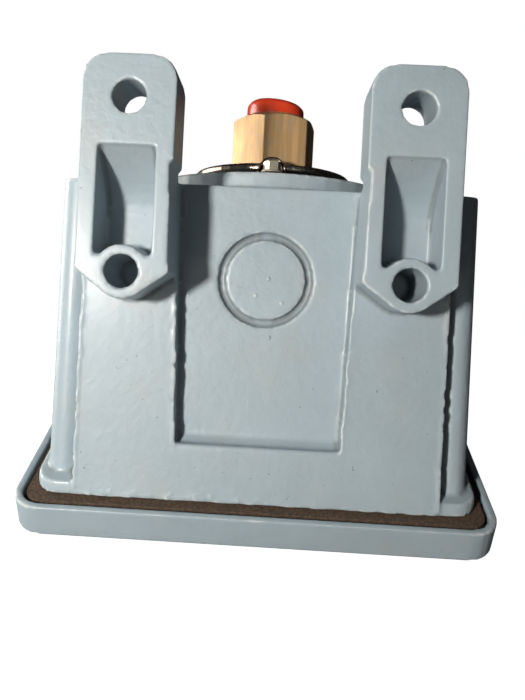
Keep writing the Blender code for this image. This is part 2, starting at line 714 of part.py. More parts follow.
def build_sensor():
    axis = (0, AXIS_Y, 0)
    base_r = SENSOR_RECESS_R - GAP
    top = BASE_Z + SENSOR_BASE_THICK
    well = PLUNGER_HEAD_R + GAP
    well_z = top - PLUNGER_HEAD - 2 * GAP - 0.6 * MM
    bore = PLUNGER_R + RUN_GAP
    base = [(base_r, BASE_Z), (base_r, top), (well, top), (well, well_z), (bore, well_z), (bore, BASE_Z)]
    make_object("sensor_base", turned(base, 40), STEEL, axis)

    disc = [(0.0, 0.0), (base_r, 0.0), (base_r, DIAPHRAGM_THICK), (0.0, DIAPHRAGM_THICK)]
    make_object("diaphragm", turned(disc, 40), STEEL, (0, AXIS_Y, DIAPHRAGM_Z))

    build_sensor_flange(axis)
    build_o_ring()
    build_port()
    for index, place in enumerate(sensor_screw_places(), 1):
        build_sensor_screw(index, place)


def build_sensor_flange(axis):
    hole = SPIGOT_R + GAP
    groove_in = O_RING_R - O_RING_WIRE_R - GAP
    groove_out = O_RING_R + O_RING_WIRE_R + GAP
    groove_z = STEP_Z + 2 * O_RING_WIRE_R + GAP
    top = DISC_Z + FLANGE_DISC_THICK
    edge = 0.5 * MM
    profile = [
        (hole, STEP_Z), (hole, top), (FLANGE_DISC_R - edge, top), (FLANGE_DISC_R, top - edge),
        (FLANGE_DISC_R, DISC_Z + edge), (FLANGE_DISC_R - edge, DISC_Z), (FLANGE_STEP_R, DISC_Z),
        (FLANGE_STEP_R, STEP_Z), (groove_out, STEP_Z), (groove_out, groove_z),
        (groove_in, groove_z), (groove_in, STEP_Z),
    ]
    flange = make_object("sensor_flange", turned(profile, 48), DARK_STEEL, axis)
    for index, place in enumerate(sensor_screw_places(), 1):
        low = STEP_Z + GAP / 2
        high = STEP_Z + SENSOR_LUG_THICK + GAP / 3
        lug = make_object("sensor_lug_%d" % index, cylinder(SENSOR_LUG_R, low, high, 22))
        lug.location = (place[0], place[1], 0)
        add(flange, lug)
    for index, place in enumerate(sensor_screw_places(), 1):
        low = STEP_Z + SENSOR_LUG_THICK
        cut_hole(flange, "sensor_notch_%d" % index, SENSOR_NOTCH_R, place, low, top + OVERCUT, 20)
        low = STEP_Z - OVERCUT
        cut_hole(flange, "sensor_hole_%d" % index, SENSOR_SCREW_R + GAP, place, low, top + OVERCUT)


def build_o_ring():
    sides = 10
    profile = arc((O_RING_R, 0.0), O_RING_WIRE_R, 0.0, 2 * math.pi * (sides - 1) / sides, sides - 1)
    centre_z = STEP_Z + O_RING_WIRE_R + GAP / 3
    make_object("sensor_o_ring", turned(profile, 40), BLACK, (0, AXIS_Y, centre_z))


def build_port():
    """Hex fitting: a chamfered hexagon with a spigot below and a pipe-thread bore above."""
    outline = polygon(6, HEX_FLATS, HEX_TURN)
    port = make_object("pressure_port", slab(outline, HEX_Z, PORT_TOP_Z), BRASS, (0, AXIS_Y, 0))
    corner_r = HEX_FLATS / 2 / math.cos(math.pi / 6)
    flat_r = HEX_FACE_R
    wide = corner_r + OVERCUT
    rise = (wide - flat_r) * math.tan(math.radians(30.0))
    lathe_cut = turned(
        [(flat_r, PORT_TOP_Z), (wide, PORT_TOP_Z - rise), (wide, PORT_TOP_Z + OVERCUT), (flat_r, PORT_TOP_Z + OVERCUT)],
        48,
    )
    cut(port, make_object("port_chamfer", lathe_cut, location=(0, AXIS_Y, 0)))
    spigot = make_object("port_spigot", cylinder(SPIGOT_R, STEP_Z, HEX_Z + OVERCUT, 32))
    spigot.location = (0, AXIS_Y, 0)
    add(port, spigot)
    floor_z = PORT_TOP_Z - PORT_DEPTH
    rim = PORT_R + PORT_LEAD
    bore = turned(
        [
            (0.0, STEP_Z - OVERCUT), (PORT_PASSAGE_R, STEP_Z - OVERCUT), (PORT_PASSAGE_R, floor_z),
            (PORT_R - PORT_TAPER, floor_z), (PORT_R, PORT_TOP_Z - PORT_LEAD), (rim, PORT_TOP_Z),
            (rim, PORT_TOP_Z + OVERCUT), (0.0, PORT_TOP_Z + OVERCUT),
        ],
        32,
    )
    cut(port, make_object("port_bore", bore, location=(0, AXIS_Y, 0)))


def build_sensor_screw(index, place):
    seat_z = STEP_Z + SENSOR_LUG_THICK + GAP
    top = seat_z + SENSOR_SCREW_HEAD
    head = slab(polygon(6, SENSOR_SCREW_FLATS), seat_z, top)
    screw = make_object("sensor_screw_%d" % index, head, STEEL, (place[0], place[1], 0))
    low = BOSS_Z - SENSOR_SCREW_REACH
    shank = make_object("sensor_shank_%d" % index, cylinder(SENSOR_SCREW_R, low, seat_z + 1 * MM, 12))
    shank.location = (place[0], place[1], 0)
    add(screw, shank)


def build_plug():
    """A push-in cap with a hollow stem. Its origin is on the port axis at the port mouth."""
    inner = PLUG_STEM_R - PLUG_WALL
    profile = [(0.0, PLUG_HEAD + GAP)]
    crown = arc(
        (PLUG_HEAD_R - PLUG_HEAD_ROUND, PLUG_HEAD + GAP - PLUG_HEAD_ROUND), PLUG_HEAD_ROUND,
        math.pi / 2, 0.0, 4
    )
    profile += crown
    profile += [
        (PLUG_HEAD_R, GAP), (PLUG_STEM_R, GAP), (PLUG_STEM_R - GAP, -PLUG_STEM),
        (inner - GAP, -PLUG_STEM), (inner, PLUG_HEAD / 2), (0.0, PLUG_HEAD / 2),
    ]
    make_object("port_plug", turned(profile, 32), RED, (0, AXIS_Y, PORT_TOP_Z))


def build_plunger():
    """Stem that the diaphragm pushes down, with a shoulder for the lever and a spring collar."""
    head_top = BASE_Z + SENSOR_BASE_THICK
    collar_low = COLLAR_Z - PLUNGER_COLLAR
    nose = collar_low - PLUNGER_NOSE
    profile = [
        (0.0, head_top), (PLUNGER_HEAD_R, head_top), (PLUNGER_HEAD_R, head_top - PLUNGER_HEAD),
        (PLUNGER_R, head_top - PLUNGER_HEAD), (PLUNGER_R, SHOULDER_Z), (PLUNGER_SHOULDER_R, SHOULDER_Z),
        (PLUNGER_SHOULDER_R, SHOULDER_Z - PLUNGER_SHOULDER), (PLUNGER_R, SHOULDER_Z - PLUNGER_SHOULDER),
        (PLUNGER_R, COLLAR_Z), (PLUNGER_COLLAR_R, COLLAR_Z), (PLUNGER_COLLAR_R, collar_low),
        (PLUNGER_R, collar_low), (PLUNGER_R, nose), (0.0, nose),
    ]
    make_object("plunger", turned(profile, 24), STEEL, (0, AXIS_Y, 0))


def build_lever():
    """Bar on a cross pin: the plunger's shoulder pushes its middle, its tip the button."""
    pivot = (LEVER_PIVOT_X, AXIS_Y, LEVER_Z - SHEET / 2)
    tip = SWITCH_X + LEVER_OVERHANG - LEVER_PIVOT_X
    half = LEVER_WIDTH / 2
    bar = block((0.0, -half, -SHEET / 2), (tip, half, SHEET / 2))
    lever = make_object("actuator_lever", bar, STEEL, pivot)
    barrel = make_object("lever_barrel", cylinder(LEVER_BARREL_R, -half, half, 20), None, pivot)
    barrel.rotation_euler = (math.pi / 2, 0, 0)
    add(lever, barrel)
    bore = make_object(
        "lever_bore", cylinder(LEVER_PIN_R + RUN_GAP, -half - OVERCUT, half + OVERCUT, 16), None, pivot
    )
    bore.rotation_euler = (math.pi / 2, 0, 0)
    cut(lever, bore)
    stem_hole = cylinder(PLUNGER_R + 2 * RUN_GAP, -SHEET, SHEET, 20)
    cut(lever, make_object("lever_stem_hole", stem_hole, None, (0, AXIS_Y, LEVER_Z - SHEET / 2)))

    length = CHASSIS_SPAN / 2 + SHEET
    pin = make_object("lever_pin", cylinder(LEVER_PIN_R, -length, length, 16), STEEL, pivot)
    pin.rotation_euler = (math.pi / 2, 0, 0)


def build_chassis():
    """U-shaped plate under the ceiling whose legs guide the spring seat."""
    outside = CHASSIS_SPAN / 2 + SHEET / 2
    inside = outside - SHEET
    foot = CHASSIS_Z - CHASSIS_LEG
    outline = [
        (AXIS_Y - outside, CHASSIS_Z), (AXIS_Y - outside, foot), (AXIS_Y - inside, foot),
        (AXIS_Y - inside, CHASSIS_Z - SHEET), (AXIS_Y + inside, CHASSIS_Z - SHEET),
        (AXIS_Y + inside, foot), (AXIS_Y + outside, foot), (AXIS_Y + outside, CHASSIS_Z),
    ]
    chassis = make_object("chassis", side_plate(outline, -CHASSIS_LEFT, CHASSIS_RIGHT), STEEL)
    low = CHASSIS_Z - SHEET - OVERCUT
    high = CHASSIS_Z + OVERCUT
    cut_hole(chassis, "chassis_bore", PLUNGER_R + RUN_GAP, (0, AXIS_Y), low, high, 20)
    for name, place in ceiling_screw_places()[:2]:
        cut_hole(chassis, name + "_pass", FASTENER_R + GAP, place, low, high)
    pin_hole = cylinder(LEVER_PIN_R + GAP, -outside - OVERCUT, outside + OVERCUT, 16)
    hole = make_object("chassis_pin_hole", pin_hole, None, (LEVER_PIVOT_X, AXIS_Y, LEVER_Z - SHEET / 2))
    hole.rotation_euler = (math.pi / 2, 0, 0)
    cut(chassis, hole)
    half = CHASSIS_SLOT_WIDTH / 2
    slot_top = SPRING_Z - SPRING_LENGTH / 2
    slot_low = CLIP_Z
    slot = block((-half, AXIS_Y + inside - OVERCUT, slot_low), (half, AXIS_Y + outside + OVERCUT, slot_top))
    cut(chassis, make_object("chassis_slot", slot))
    build_lower_plate(inside)


def build_lower_plate(inside):
    """Fixed plate between the legs that carries the adjusting screw."""
    reach = inside - GAP
    low = LOWER_PLATE_Z - LOWER_PLATE_THICK
    plate = block(
        (-CHASSIS_RIGHT, AXIS_Y - reach, low), (CHASSIS_RIGHT, AXIS_Y + reach, LOWER_PLATE_Z)
    )
    thing = make_object("lower_plate", plate, STEEL)
    cut_hole(thing, "lower_plate_bore", ADJUST_R + RUN_GAP, (0, AXIS_Y), low - OVERCUT, LOWER_PLATE_Z + OVERCUT, 20)


def build_range_spring():
    """Closed helix, from the plunger collar down to the seat."""
    bm = bmesh.new()
    sides = 6
    steps = SPRING_TURNS * 16
    climb = SPRING_LENGTH - 2 * SPRING_WIRE_R
    rings = []
    for index in range(steps + 1):
        along = index / steps
        angle = 2 * math.pi * SPRING_TURNS * along
        outward = Vector((math.cos(angle), math.sin(angle), 0.0))
        centre = outward * SPRING_R
        centre.z = -SPRING_WIRE_R - climb * along
        ring = []
        for side in range(sides):
            turn = 2 * math.pi * side / sides
            offset = outward * (SPRING_WIRE_R * math.cos(turn))
            offset.z = SPRING_WIRE_R * math.sin(turn)
            ring.append(bm.verts.new(centre + offset))
        rings.append(ring)
    for here, there in zip(rings, rings[1:]):
        for side in range(sides):
            after = (side + 1) % sides
            bm.faces.new((here[side], here[after], there[after], there[side]))
    bm.faces.new(rings[0])
    bm.faces.new(list(reversed(rings[-1])))
    make_object("range_spring", bm, STEEL, (0, AXIS_Y, SPRING_Z))


def build_range_adjuster():
    """The seat slides between the legs as the captive screw turns, and carries the pointer."""
    reach = CHASSIS_SPAN / 2 - SHEET / 2 - RUN_GAP
    low = SEAT_Z - SEAT_THICK
    seat = make_object(
        "spring_seat",
        block((-SEAT_WIDTH / 2, -reach, -SEAT_THICK), (SEAT_WIDTH / 2, reach, 0.0)),
        BRASS,
        (0, AXIS_Y, SEAT_Z),
    )
    cut_hole(seat, "seat_bore", ADJUST_R + RUN_GAP, (0, AXIS_Y), low - OVERCUT, SEAT_Z + OVERCUT, 20)

    tip = SEAT_Z + ADJUST_ENTRY
    corner = 0.8 * MM
    stem = [
        (0.0, ADJUST_HEAD_Z - 1 * MM), (ADJUST_R, ADJUST_HEAD_Z - 1 * MM), (ADJUST_R, tip - corner),
        (ADJUST_R - corner, tip), (0.0, tip),
    ]
    screw = make_object(
        "adjusting_screw",
        slab(polygon(6, ADJUST_FLATS), ADJUST_HEAD_Z - ADJUST_HEAD, ADJUST_HEAD_Z),
        BRASS,
        (0, AXIS_Y, 0),
    )
    add(screw, make_object("adjusting_stem", turned(stem, 20), None, (0, AXIS_Y, 0)))

    ring = [
        (ADJUST_R + GAP, CLIP_Z - CLIP_THICK), (CLIP_R, CLIP_Z - CLIP_THICK), (CLIP_R, CLIP_Z),
        (ADJUST_R + GAP, CLIP_Z),
    ]
    make_object("retaining_ring", turned(ring, 24), DARK_STEEL, (0, AXIS_Y, 0))
    build_pointer()
    build_scale()


def build_pointer():
    """A finger on the seat that reaches through the front leg's slot and ends in an arrow."""
    start = CHASSIS_SPAN / 2 - SHEET / 2 - RUN_GAP + GAP
    end = CHASSIS_SPAN / 2 + SHEET / 2 + 2 * GAP + SCALE_SIZE[1] + 1.0 * MM
    half = POINTER_WIDTH / 2
    tall = POINTER_HEIGHT / 2
    outline = [
        (-half, start), (half, start), (half, end), (POINTER_ARROW, end + half), (half, end + 2 * half),
        (-half, end + 2 * half),
    ]
    place = (0, AXIS_Y, SEAT_Z - SEAT_THICK / 2)
    make_object("pointer", slab(outline, -tall, tall), RED, place)


def build_scale():
    """Blank plate on the front leg with a slot for the pointer."""
    wide, thick, tall = SCALE_SIZE
    back = AXIS_Y + CHASSIS_SPAN / 2 + SHEET / 2 + GAP
    middle = SEAT_Z - SEAT_THICK / 2
    plate = block((-wide / 2, back, middle - tall / 2), (wide / 2, back + thick, middle + tall / 2))
    scale = make_object("scale_plate", plate, IVORY)
    half = CHASSIS_SLOT_WIDTH / 2
    top = SPRING_Z - SPRING_LENGTH / 2
    slot = block((-half, back - OVERCUT, CLIP_Z), (half, back + thick + OVERCUT, top))
    cut(scale, make_object("scale_slot", slot))


def build_snap_switch():
    wide, length, tall = SWITCH_SIZE
    top = SWITCH_Z
    low = top - tall
    outline = rounded_box(-wide / 2, wide / 2, -length / 2, length / 2, 1 * MM, 1 * MM, 2)
    place = (SWITCH_X, AXIS_Y, 0)
    housing = make_object("switch_housing", slab(outline, low, top), BLACK, place)
    axis = (SWITCH_X, AXIS_Y)
    cut_hole(housing, "button_well", BUTTON_R + RUN_GAP, axis, top - BUTTON_WELL, top + OVERCUT)

    button_top = LEVER_Z - SHEET - GAP
    stem_low = top - BUTTON_STEM
    button = [(0.0, button_top), (BUTTON_R * 0.7, button_top), (BUTTON_R, button_top - 0.6 * MM)]
    button += [(BUTTON_R, stem_low), (0.0, stem_low)]
    make_object("switch_button", turned(button, 16), RED, place)

    for index, side in enumerate((-1, 1), 1):
        y = AXIS_Y + side * SWITCH_HOLE_Y
        build_switch_screw(housing, index, y, top - SWITCH_HOLE_Z)
    for index, name in enumerate(("common", "normally_open", "normally_closed")):
        build_terminal(housing, name, AXIS_Y + (index - 1) * TERMINAL_PITCH, low)
    build_switch_bracket(top - SWITCH_HOLE_Z)


def build_switch_screw(housing, index, y, z):
    """A screw that runs through the snap switch into its bracket, along X."""
    reach = SWITCH_SIZE[0] + 2 * GAP + SHEET
    place = (SWITCH_LEFT - GAP, y, z)
    drill = make_object("switch_drill_%d" % index, cylinder(FASTENER_R + GAP, -OVERCUT, reach + OVERCUT, 16))
    drill.location = place
    drill.rotation_euler = (0, math.pi / 2, 0)
    cut(housing, drill)
    screw = slotted_screw(
        "switch_screw_%d" % index, STEEL, FASTENER_R, FASTENER_HEAD_R, FASTENER_HEAD * 0.7, reach, (0, 0, 0)
    )
    slot = bpy.data.objects["switch_screw_%d_slot" % index]
    for thing in (screw, slot):
        thing.location = place
        thing.rotation_euler = (0, math.pi / 2, 0)


def build_terminal(housing, name, y, low):
    """A terminal plate under the snap switch with the screw that clamps a wire."""
    wide, length, thick = TERMINAL_SIZE
    reach = 4.0 * MM
    place = (SWITCH_X, y)
    cut_hole(housing, "terminal_drill_" + name, FASTENER_R + GAP, place, low - OVERCUT, low + reach)
    top = low - GAP
    plate = make_object(
        "terminal_" + name,
        block((-wide / 2, -length / 2, -thick), (wide / 2, length / 2, 0.0)),
        BRASS,
        (SWITCH_X, y, top),
    )
    cut_hole(plate, "terminal_pass_" + name, FASTENER_R + GAP, place, top - thick - OVERCUT, top + OVERCUT)
    slotted_screw(
        "terminal_screw_" + name, BRASS, FASTENER_R, FASTENER_HEAD_R, FASTENER_HEAD,
        reach + thick, (SWITCH_X, y, top - thick - GAP)
    )


def build_switch_bracket(hole_z_from_zero):
    """Angle plate: its foot is under the ceiling, its web stands beside the snap switch."""
    web = SWITCH_LEFT + SWITCH_SIZE[0] + GAP
    foot = web + SHEET + BRACKET_FOOT
    bottom = CHASSIS_Z - BRACKET_DROP
    outline = [
        (web, bottom), (web + SHEET, bottom), (web + SHEET, CHASSIS_Z - SHEET),
        (foot, CHASSIS_Z - SHEET), (foot, CHASSIS_Z), (web, CHASSIS_Z),
    ]
    half = BRACKET_LENGTH / 2
    bracket = make_object("switch_bracket", wall_plate(outline, AXIS_Y - half, AXIS_Y + half), STEEL)
    for name, place in ceiling_screw_places()[2:4]:
        cut_hole(bracket, name + "_pass", FASTENER_R + GAP, place, bottom, CHASSIS_Z + OVERCUT)
    for index, side in enumerate((-1, 1), 1):
        drill = make_object("bracket_drill_%d" % index, cylinder(FASTENER_R + GAP, -OVERCUT, SHEET + OVERCUT, 16))
        drill.location = (web, AXIS_Y + side * SWITCH_HOLE_Y, hole_z_from_zero)
        drill.rotation_euler = (0, math.pi / 2, 0)
        cut(bracket, drill)
    thick, length, tall = INSULATOR_SIZE
    wall_x = BODY_WIDTH / 2 - WALL - GAP
    sheet_top = CHASSIS_Z - SHEET
    sheet = block(
        (wall_x - thick, AXIS_Y - length / 2, sheet_top - tall), (wall_x, AXIS_Y + length / 2, sheet_top)
    )
    make_object("insulator_sheet", sheet, FIBRE)


def build_ceiling_screws():
    for name, place in ceiling_screw_places():
        held = 0.0 if name == "ground_screw" else SHEET + GAP
        spec = GREEN if name == "ground_screw" else STEEL
        seat_z = CEILING_Z - held - GAP
        slotted_screw(
            name, spec, FASTENER_R, FASTENER_HEAD_R, FASTENER_HEAD,
            FASTENER_REACH + held + GAP, (place[0], place[1], seat_z)
        )


def main():
    clear_scene()
    cover_frame = make_empty("cover_frame", (0, PAD_Y, FLANGE_Z), (SLANT, 0, 0))
    build_enclosure(cover_frame)
    build_cover(cover_frame)
    build_gasket(cover_frame)
    build_cover_screws(cover_frame)
    build_nameplate(cover_frame)
    build_sensor()
    build_plug()
    build_plunger()
    build_lever()
    build_chassis()
    build_range_spring()
    build_range_adjuster()
    build_snap_switch()
    build_ceiling_screws()


main()
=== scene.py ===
"""Looks of a pressure switch: cast enclosure and cover, sensor stack, port and mechanism."""

import math
import random

import bmesh
import bpy
from bpy.props import (
    FloatProperty,
    FloatVectorProperty,
    IntProperty,
    PointerProperty,
)
from mathutils import Matrix, Vector


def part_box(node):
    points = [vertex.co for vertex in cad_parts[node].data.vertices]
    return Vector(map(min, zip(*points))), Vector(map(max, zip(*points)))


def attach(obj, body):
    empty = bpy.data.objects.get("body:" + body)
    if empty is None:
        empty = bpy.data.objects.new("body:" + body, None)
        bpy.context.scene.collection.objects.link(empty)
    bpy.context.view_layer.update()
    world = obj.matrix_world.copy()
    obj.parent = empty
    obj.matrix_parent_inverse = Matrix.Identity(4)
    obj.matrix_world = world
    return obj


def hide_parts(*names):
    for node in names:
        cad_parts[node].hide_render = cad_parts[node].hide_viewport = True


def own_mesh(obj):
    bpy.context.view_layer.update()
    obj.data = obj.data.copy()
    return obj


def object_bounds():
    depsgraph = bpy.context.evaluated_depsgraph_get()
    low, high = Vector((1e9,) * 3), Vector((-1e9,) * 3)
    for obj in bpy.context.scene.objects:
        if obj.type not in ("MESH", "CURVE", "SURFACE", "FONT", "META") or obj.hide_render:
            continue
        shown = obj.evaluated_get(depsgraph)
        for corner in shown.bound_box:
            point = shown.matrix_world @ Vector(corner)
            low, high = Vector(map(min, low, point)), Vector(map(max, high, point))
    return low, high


bl_info = {
    "name": "Pressure switch looks",
    "version": (1, 0, 0),
    "blender": (4, 5, 0),
    "location": "View3D > Sidebar > Pressure switch",
    "description": "Finished pieces and materials for a cast pressure switch",
    "category": "Object",
}

MM = 0.001
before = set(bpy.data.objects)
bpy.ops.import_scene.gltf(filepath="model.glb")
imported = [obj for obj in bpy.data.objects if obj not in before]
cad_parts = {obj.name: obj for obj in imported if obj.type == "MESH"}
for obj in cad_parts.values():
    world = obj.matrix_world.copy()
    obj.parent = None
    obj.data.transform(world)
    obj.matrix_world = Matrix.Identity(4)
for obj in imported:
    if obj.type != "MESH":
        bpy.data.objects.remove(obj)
CAD_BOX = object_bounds()


# ---- sizes and colours ---------------------------------------------------------------
class SwitchSizes(bpy.types.PropertyGroup):
    """Sizes of the finished pieces that the frame does not fix."""

    cast_skin: FloatProperty(
        name="Cast skin", description="Mesh size that the castings are skinned with",
        default=0.46 * MM, min=0.3 * MM, max=2 * MM, precision=5, unit="LENGTH",
    )
    cast_rounds: IntProperty(
        name="Cast rounds", description="Smoothing passes that round a casting's edges", default=5,
        min=0, max=40,
    )
    cast_triangles: IntProperty(
        name="Cast triangles", description="Triangles left in the enclosure", default=190000, min=20000,
        max=199000,
    )
    flash_radius: FloatProperty(
        name="Flash radius", description="Radius of the cast flash along the pads' edges",
        default=0.42 * MM, precision=5, unit="LENGTH",
    )
    hex_flats: FloatProperty(
        name="Hex across flats", description="Pressure fitting across its flats", default=21 * MM,
        precision=4, unit="LENGTH",
    )
    hex_turn: FloatProperty(
        name="Hex turn", description="Direction of the fitting's first corner", default=math.radians(17.5),
        subtype="ANGLE",
    )
    hex_face: FloatProperty(
        name="Hex face", description="Radius of the flat that the top chamfer leaves", default=8.7 * MM,
        precision=4, unit="LENGTH",
    )
    thread_pitch: FloatProperty(
        name="Thread pitch", description="Pitch of the pipe thread, 18 to the inch", default=1.411 * MM,
        precision=5, unit="LENGTH",
    )
    spring_turns: FloatProperty(
        name="Spring turns", description="Turns of the range spring", default=5.0, min=2.0, max=12.0,
    )
    edge_break: FloatProperty(
        name="Edge break", description="Small bevel on machined and stamped pieces", default=0.14 * MM,
        precision=5, unit="LENGTH",
    )


class SwitchColours(bpy.types.PropertyGroup):
    """Colours of the finishes."""

    paint: FloatVectorProperty(
        name="Paint", description="Satin paint on the castings", size=3, subtype="COLOR",
        default=(0.335, 0.408, 0.452), min=0, max=1,
    )
    brass: FloatVectorProperty(
        name="Brass", description="Machined brass of the pressure fitting", size=3, subtype="COLOR",
        default=(0.80, 0.50, 0.23), min=0, max=1,
    )
    plug: FloatVectorProperty(
        name="Plug", description="Plastic of the port plug", size=3, subtype="COLOR",
        default=(1.0, 0.08, 0.026), min=0, max=1,
    )
    disc: FloatVectorProperty(
        name="Sensor disc", description="Polished dark steel of the sensor's flange", size=3,
        subtype="COLOR", default=(0.075, 0.058, 0.045), min=0, max=1,
    )
    gasket: FloatVectorProperty(
        name="Gasket", description="Rubber and cork gasket", size=3, subtype="COLOR",
        default=(0.068, 0.045, 0.030), min=0, max=1,
    )
    zinc: FloatVectorProperty(
        name="Zinc", description="Zinc-plated steel", size=3, subtype="COLOR",
        default=(0.74, 0.67, 0.53), min=0, max=1,
    )


class SwitchLights(bpy.types.PropertyGroup):
    """Camera and lights."""

    eye: FloatVectorProperty(
        name="Eye", description="Place of the camera", size=3, subtype="TRANSLATION", precision=5,
        default=(0.0018127, -0.1334687, -0.0226876),
    )
    gaze: FloatVectorProperty(
        name="Gaze", description="Direction of the camera", size=3, subtype="EULER",
        default=(math.radians(89.26), math.radians(-2.95), math.radians(1.682)),
    )
    lens: FloatProperty(name="Lens", description="Focal length in millimetres", default=33.04)
    shift: FloatVectorProperty(
        name="Shift", description="Sideways and upward shift of the picture", size=2,
        default=(0.01313, -0.06131),
    )
    key_power: FloatProperty(
        name="Key power", description="Power of the key light on the left", default=1.14, unit="POWER",
    )
    window_power: FloatProperty(
        name="Window power", description="Power of the broad light that grazes the left side", default=3.0,
        unit="POWER",
    )
    fill_power: FloatProperty(
        name="Fill power", description="Power of the broad light above", default=0.055, unit="POWER",
    )
    sky: FloatProperty(name="Sky", description="Strength of the pale surroundings", default=0.015)


# ---- shader sums ---------------------------------------------------------------------
class Field:
    """A shader socket that takes part in Python sums."""

    def __init__(self, finish, socket):
        self.finish = finish
        self.socket = socket

    def sum(self, operation, first, second):
        settings = {"operation": operation}
        return self.finish.node("ShaderNodeMath", settings, {0: first, 1: second})

    def __add__(self, other):
        return self.sum("ADD", self, other)

    def __radd__(self, other):
        return self.sum("ADD", other, self)

    def __sub__(self, other):
        return self.sum("SUBTRACT", self, other)

    def __rsub__(self, other):
        return self.sum("SUBTRACT", other, self)

    def __mul__(self, other):
        return self.sum("MULTIPLY", self, other)

    def __rmul__(self, other):
        return self.sum("MULTIPLY", other, self)

    def __truediv__(self, other):
        return self.sum("DIVIDE", self, other)

    def __pow__(self, other):
        return self.sum("POWER", self, other)

    def __mod__(self, other):
        return self.sum("MODULO", self, other)

    def __gt__(self, other):
        return self.sum("GREATER_THAN", self, other)

    def __lt__(self, other):
        return self.sum("LESS_THAN", self, other)


class Finish:
    """A material being made."""

    def __init__(self, name, colour, roughness, metallic=0.0, **fixed):
        self.material = bpy.data.materials.new(name)
        self.material.use_nodes = True
        self.material.diffuse_color = (*colour, 1.0)
        self.shader = self.material.node_tree.nodes["Principled BSDF"]
        self.set("Base Color", (*colour, 1.0))
        self.set("Roughness", roughness)
        self.set("Metallic", metallic)
        for socket, value in fixed.items():
            self.set(socket.replace("_", " "), value)
        self.place = self.node("ShaderNodeTexCoord", output="Object")

    def set(self, socket, value):
        """Give one of the surface shader's sockets a value or a link."""
        self.feed(self.shader.inputs[socket], value)

    def feed(self, socket, value):
        if isinstance(value, Field):
            self.material.node_tree.links.new(value.socket, socket)
        else:
            socket.default_value = value

    def node(self, kind, settings=None, inputs=None, output=0):
        """Add a node: its settings first, then the values or links of its sockets."""
        node = self.material.node_tree.nodes.new(kind)
        for name, value in (settings or {}).items():
            if name == "stops":
                ramp = node.color_ramp.elements
                while len(ramp) < len(value):
                    ramp.new(0.5)
                for element, (position, colour) in zip(ramp, value):
                    element.position = position
                    element.color = colour
            else:
                setattr(node, name, value)
        for name, value in (inputs or {}).items():
            self.feed(node.inputs[name], value)
        return Field(self, node.outputs[output])

    def stretched(self, scale=(1, 1, 1), centre=(0, 0, 0), turn=(0, 0, 0)):
        """Object coordinates, moved so that centre is zero, turned and stretched."""
        moved = self.node(
            "ShaderNodeVectorMath", {"operation": "SUBTRACT"}, {0: self.place, 1: centre}
        )
        inputs = {"Vector": moved, "Rotation": turn, "Scale": scale}
        return self.node("ShaderNodeMapping", None, inputs)

    def noise(self, size, detail=2.0, roughness=0.5, place=None):
        """Even noise from 0 to 1 whose blobs are about size across."""
        inputs = {
            "Vector": place or self.place, "Scale": 1.0 / size, "Detail": detail, "Roughness": roughness,
        }
        return self.node("ShaderNodeTexNoise", None, inputs)

    def steps(self, value, low, high):
        """0 below low, 1 above high and smooth between them."""
        inputs = {"Value": value, "From Min": low, "From Max": high}
        return self.node("ShaderNodeMapRange", {"interpolation_type": "SMOOTHSTEP"}, inputs)

    def blend(self, mask, first, second):
        """A colour between two, by a mask."""
        first = first if isinstance(first, Field) else (*first, 1.0)
        second = second if isinstance(second, Field) else (*second, 1.0)
        inputs = {0: mask, 6: first, 7: second}
        return self.node("ShaderNodeMix", {"data_type": "RGBA"}, inputs, output=2)

    def across(self, place=None):
        """The three coordinates of a place as fields."""
        split = self.node("ShaderNodeSeparateXYZ", None, {0: place or self.place})
        outputs = split.socket.node.outputs
        return Field(self, outputs[0]), Field(self, outputs[1]), Field(self, outputs[2])

    def worn(self):
        """The piece's own edge mask: above 0.5 on outer edges and below it in corners."""
        settings = {"attribute_name": "edge_mask"}
        return self.node("ShaderNodeAttribute", settings, output="Fac")

    def bump(self, height, depth, strength=1.0):
        """Give the surface relief: height goes from 0 to 1 and depth is in metres."""
        inputs = {"Strength": strength, "Distance": depth, "Height": height}
        self.set("Normal", self.node("ShaderNodeBump", None, inputs))


def shade(colour, factor):
    return tuple(min(1.0, value * factor) for value in colour)


def cast_paint(colour):
    """Satin paint over a casting: orange peel, soft clouds, outer edges lighter as rubbed paint and painted
    highlight, painted shade darkening the corners.
    """
    finish = Finish("cast_paint", colour, 0.42, 0.0, Coat_Roughness=0.24, Coat_Weight=0.25)
    clouds = finish.noise(22 * MM, 3.0)
    drift = finish.noise(6 * MM, 4.0, 0.6)
    peel = finish.noise(1.7 * MM, 2.0, 0.45)
    grit = finish.noise(0.30 * MM, 2.0, 0.6)
    speck = finish.noise(0.9 * MM, 1.0, 0.5)
    edge = finish.worn()
    tone = finish.blend(clouds, shade(colour, 0.90), shade(colour, 1.10))
    tone = finish.blend(finish.steps(drift, 0.40, 0.72) * 0.30, tone, shade(colour, 1.14))
    warm = finish.steps(finish.noise(14 * MM, 4.0, 0.6), 0.50, 0.70)
    tone = finish.blend(warm * 0.22, tone, (0.42, 0.40, 0.35))
    # painted shade: concave corners and creases darkened toward near-black, in patches
    corner_shade = finish.steps(0.5 - edge, 0.04, 0.40) * (0.25 + 0.5 * drift)
    tone = finish.blend(corner_shade, tone, (0.09, 0.095, 0.09))
    # outer edges and small raised dots lightened in patches: partly rubbed paint, partly a painted highlight
    rub_and_highlight = finish.steps(edge, 0.66, 1.0) * finish.steps(drift + peel, 0.80, 1.15)
    tone = finish.blend(rub_and_highlight * 0.55, tone, (0.66, 0.68, 0.67))
    pits = finish.steps(speck, 0.77, 0.81)
    tone = finish.blend(pits * 0.5, tone, (0.10, 0.10, 0.10))
    finish.set("Base Color", tone)
    finish.set("Roughness", 0.34 + 0.18 * clouds + 0.10 * grit - 0.06 * rub_and_highlight)
    finish.bump(peel * 0.8 + drift * 0.9 + grit * 0.16 - pits * 0.4, 0.20 * MM, 0.7)
    return finish.material


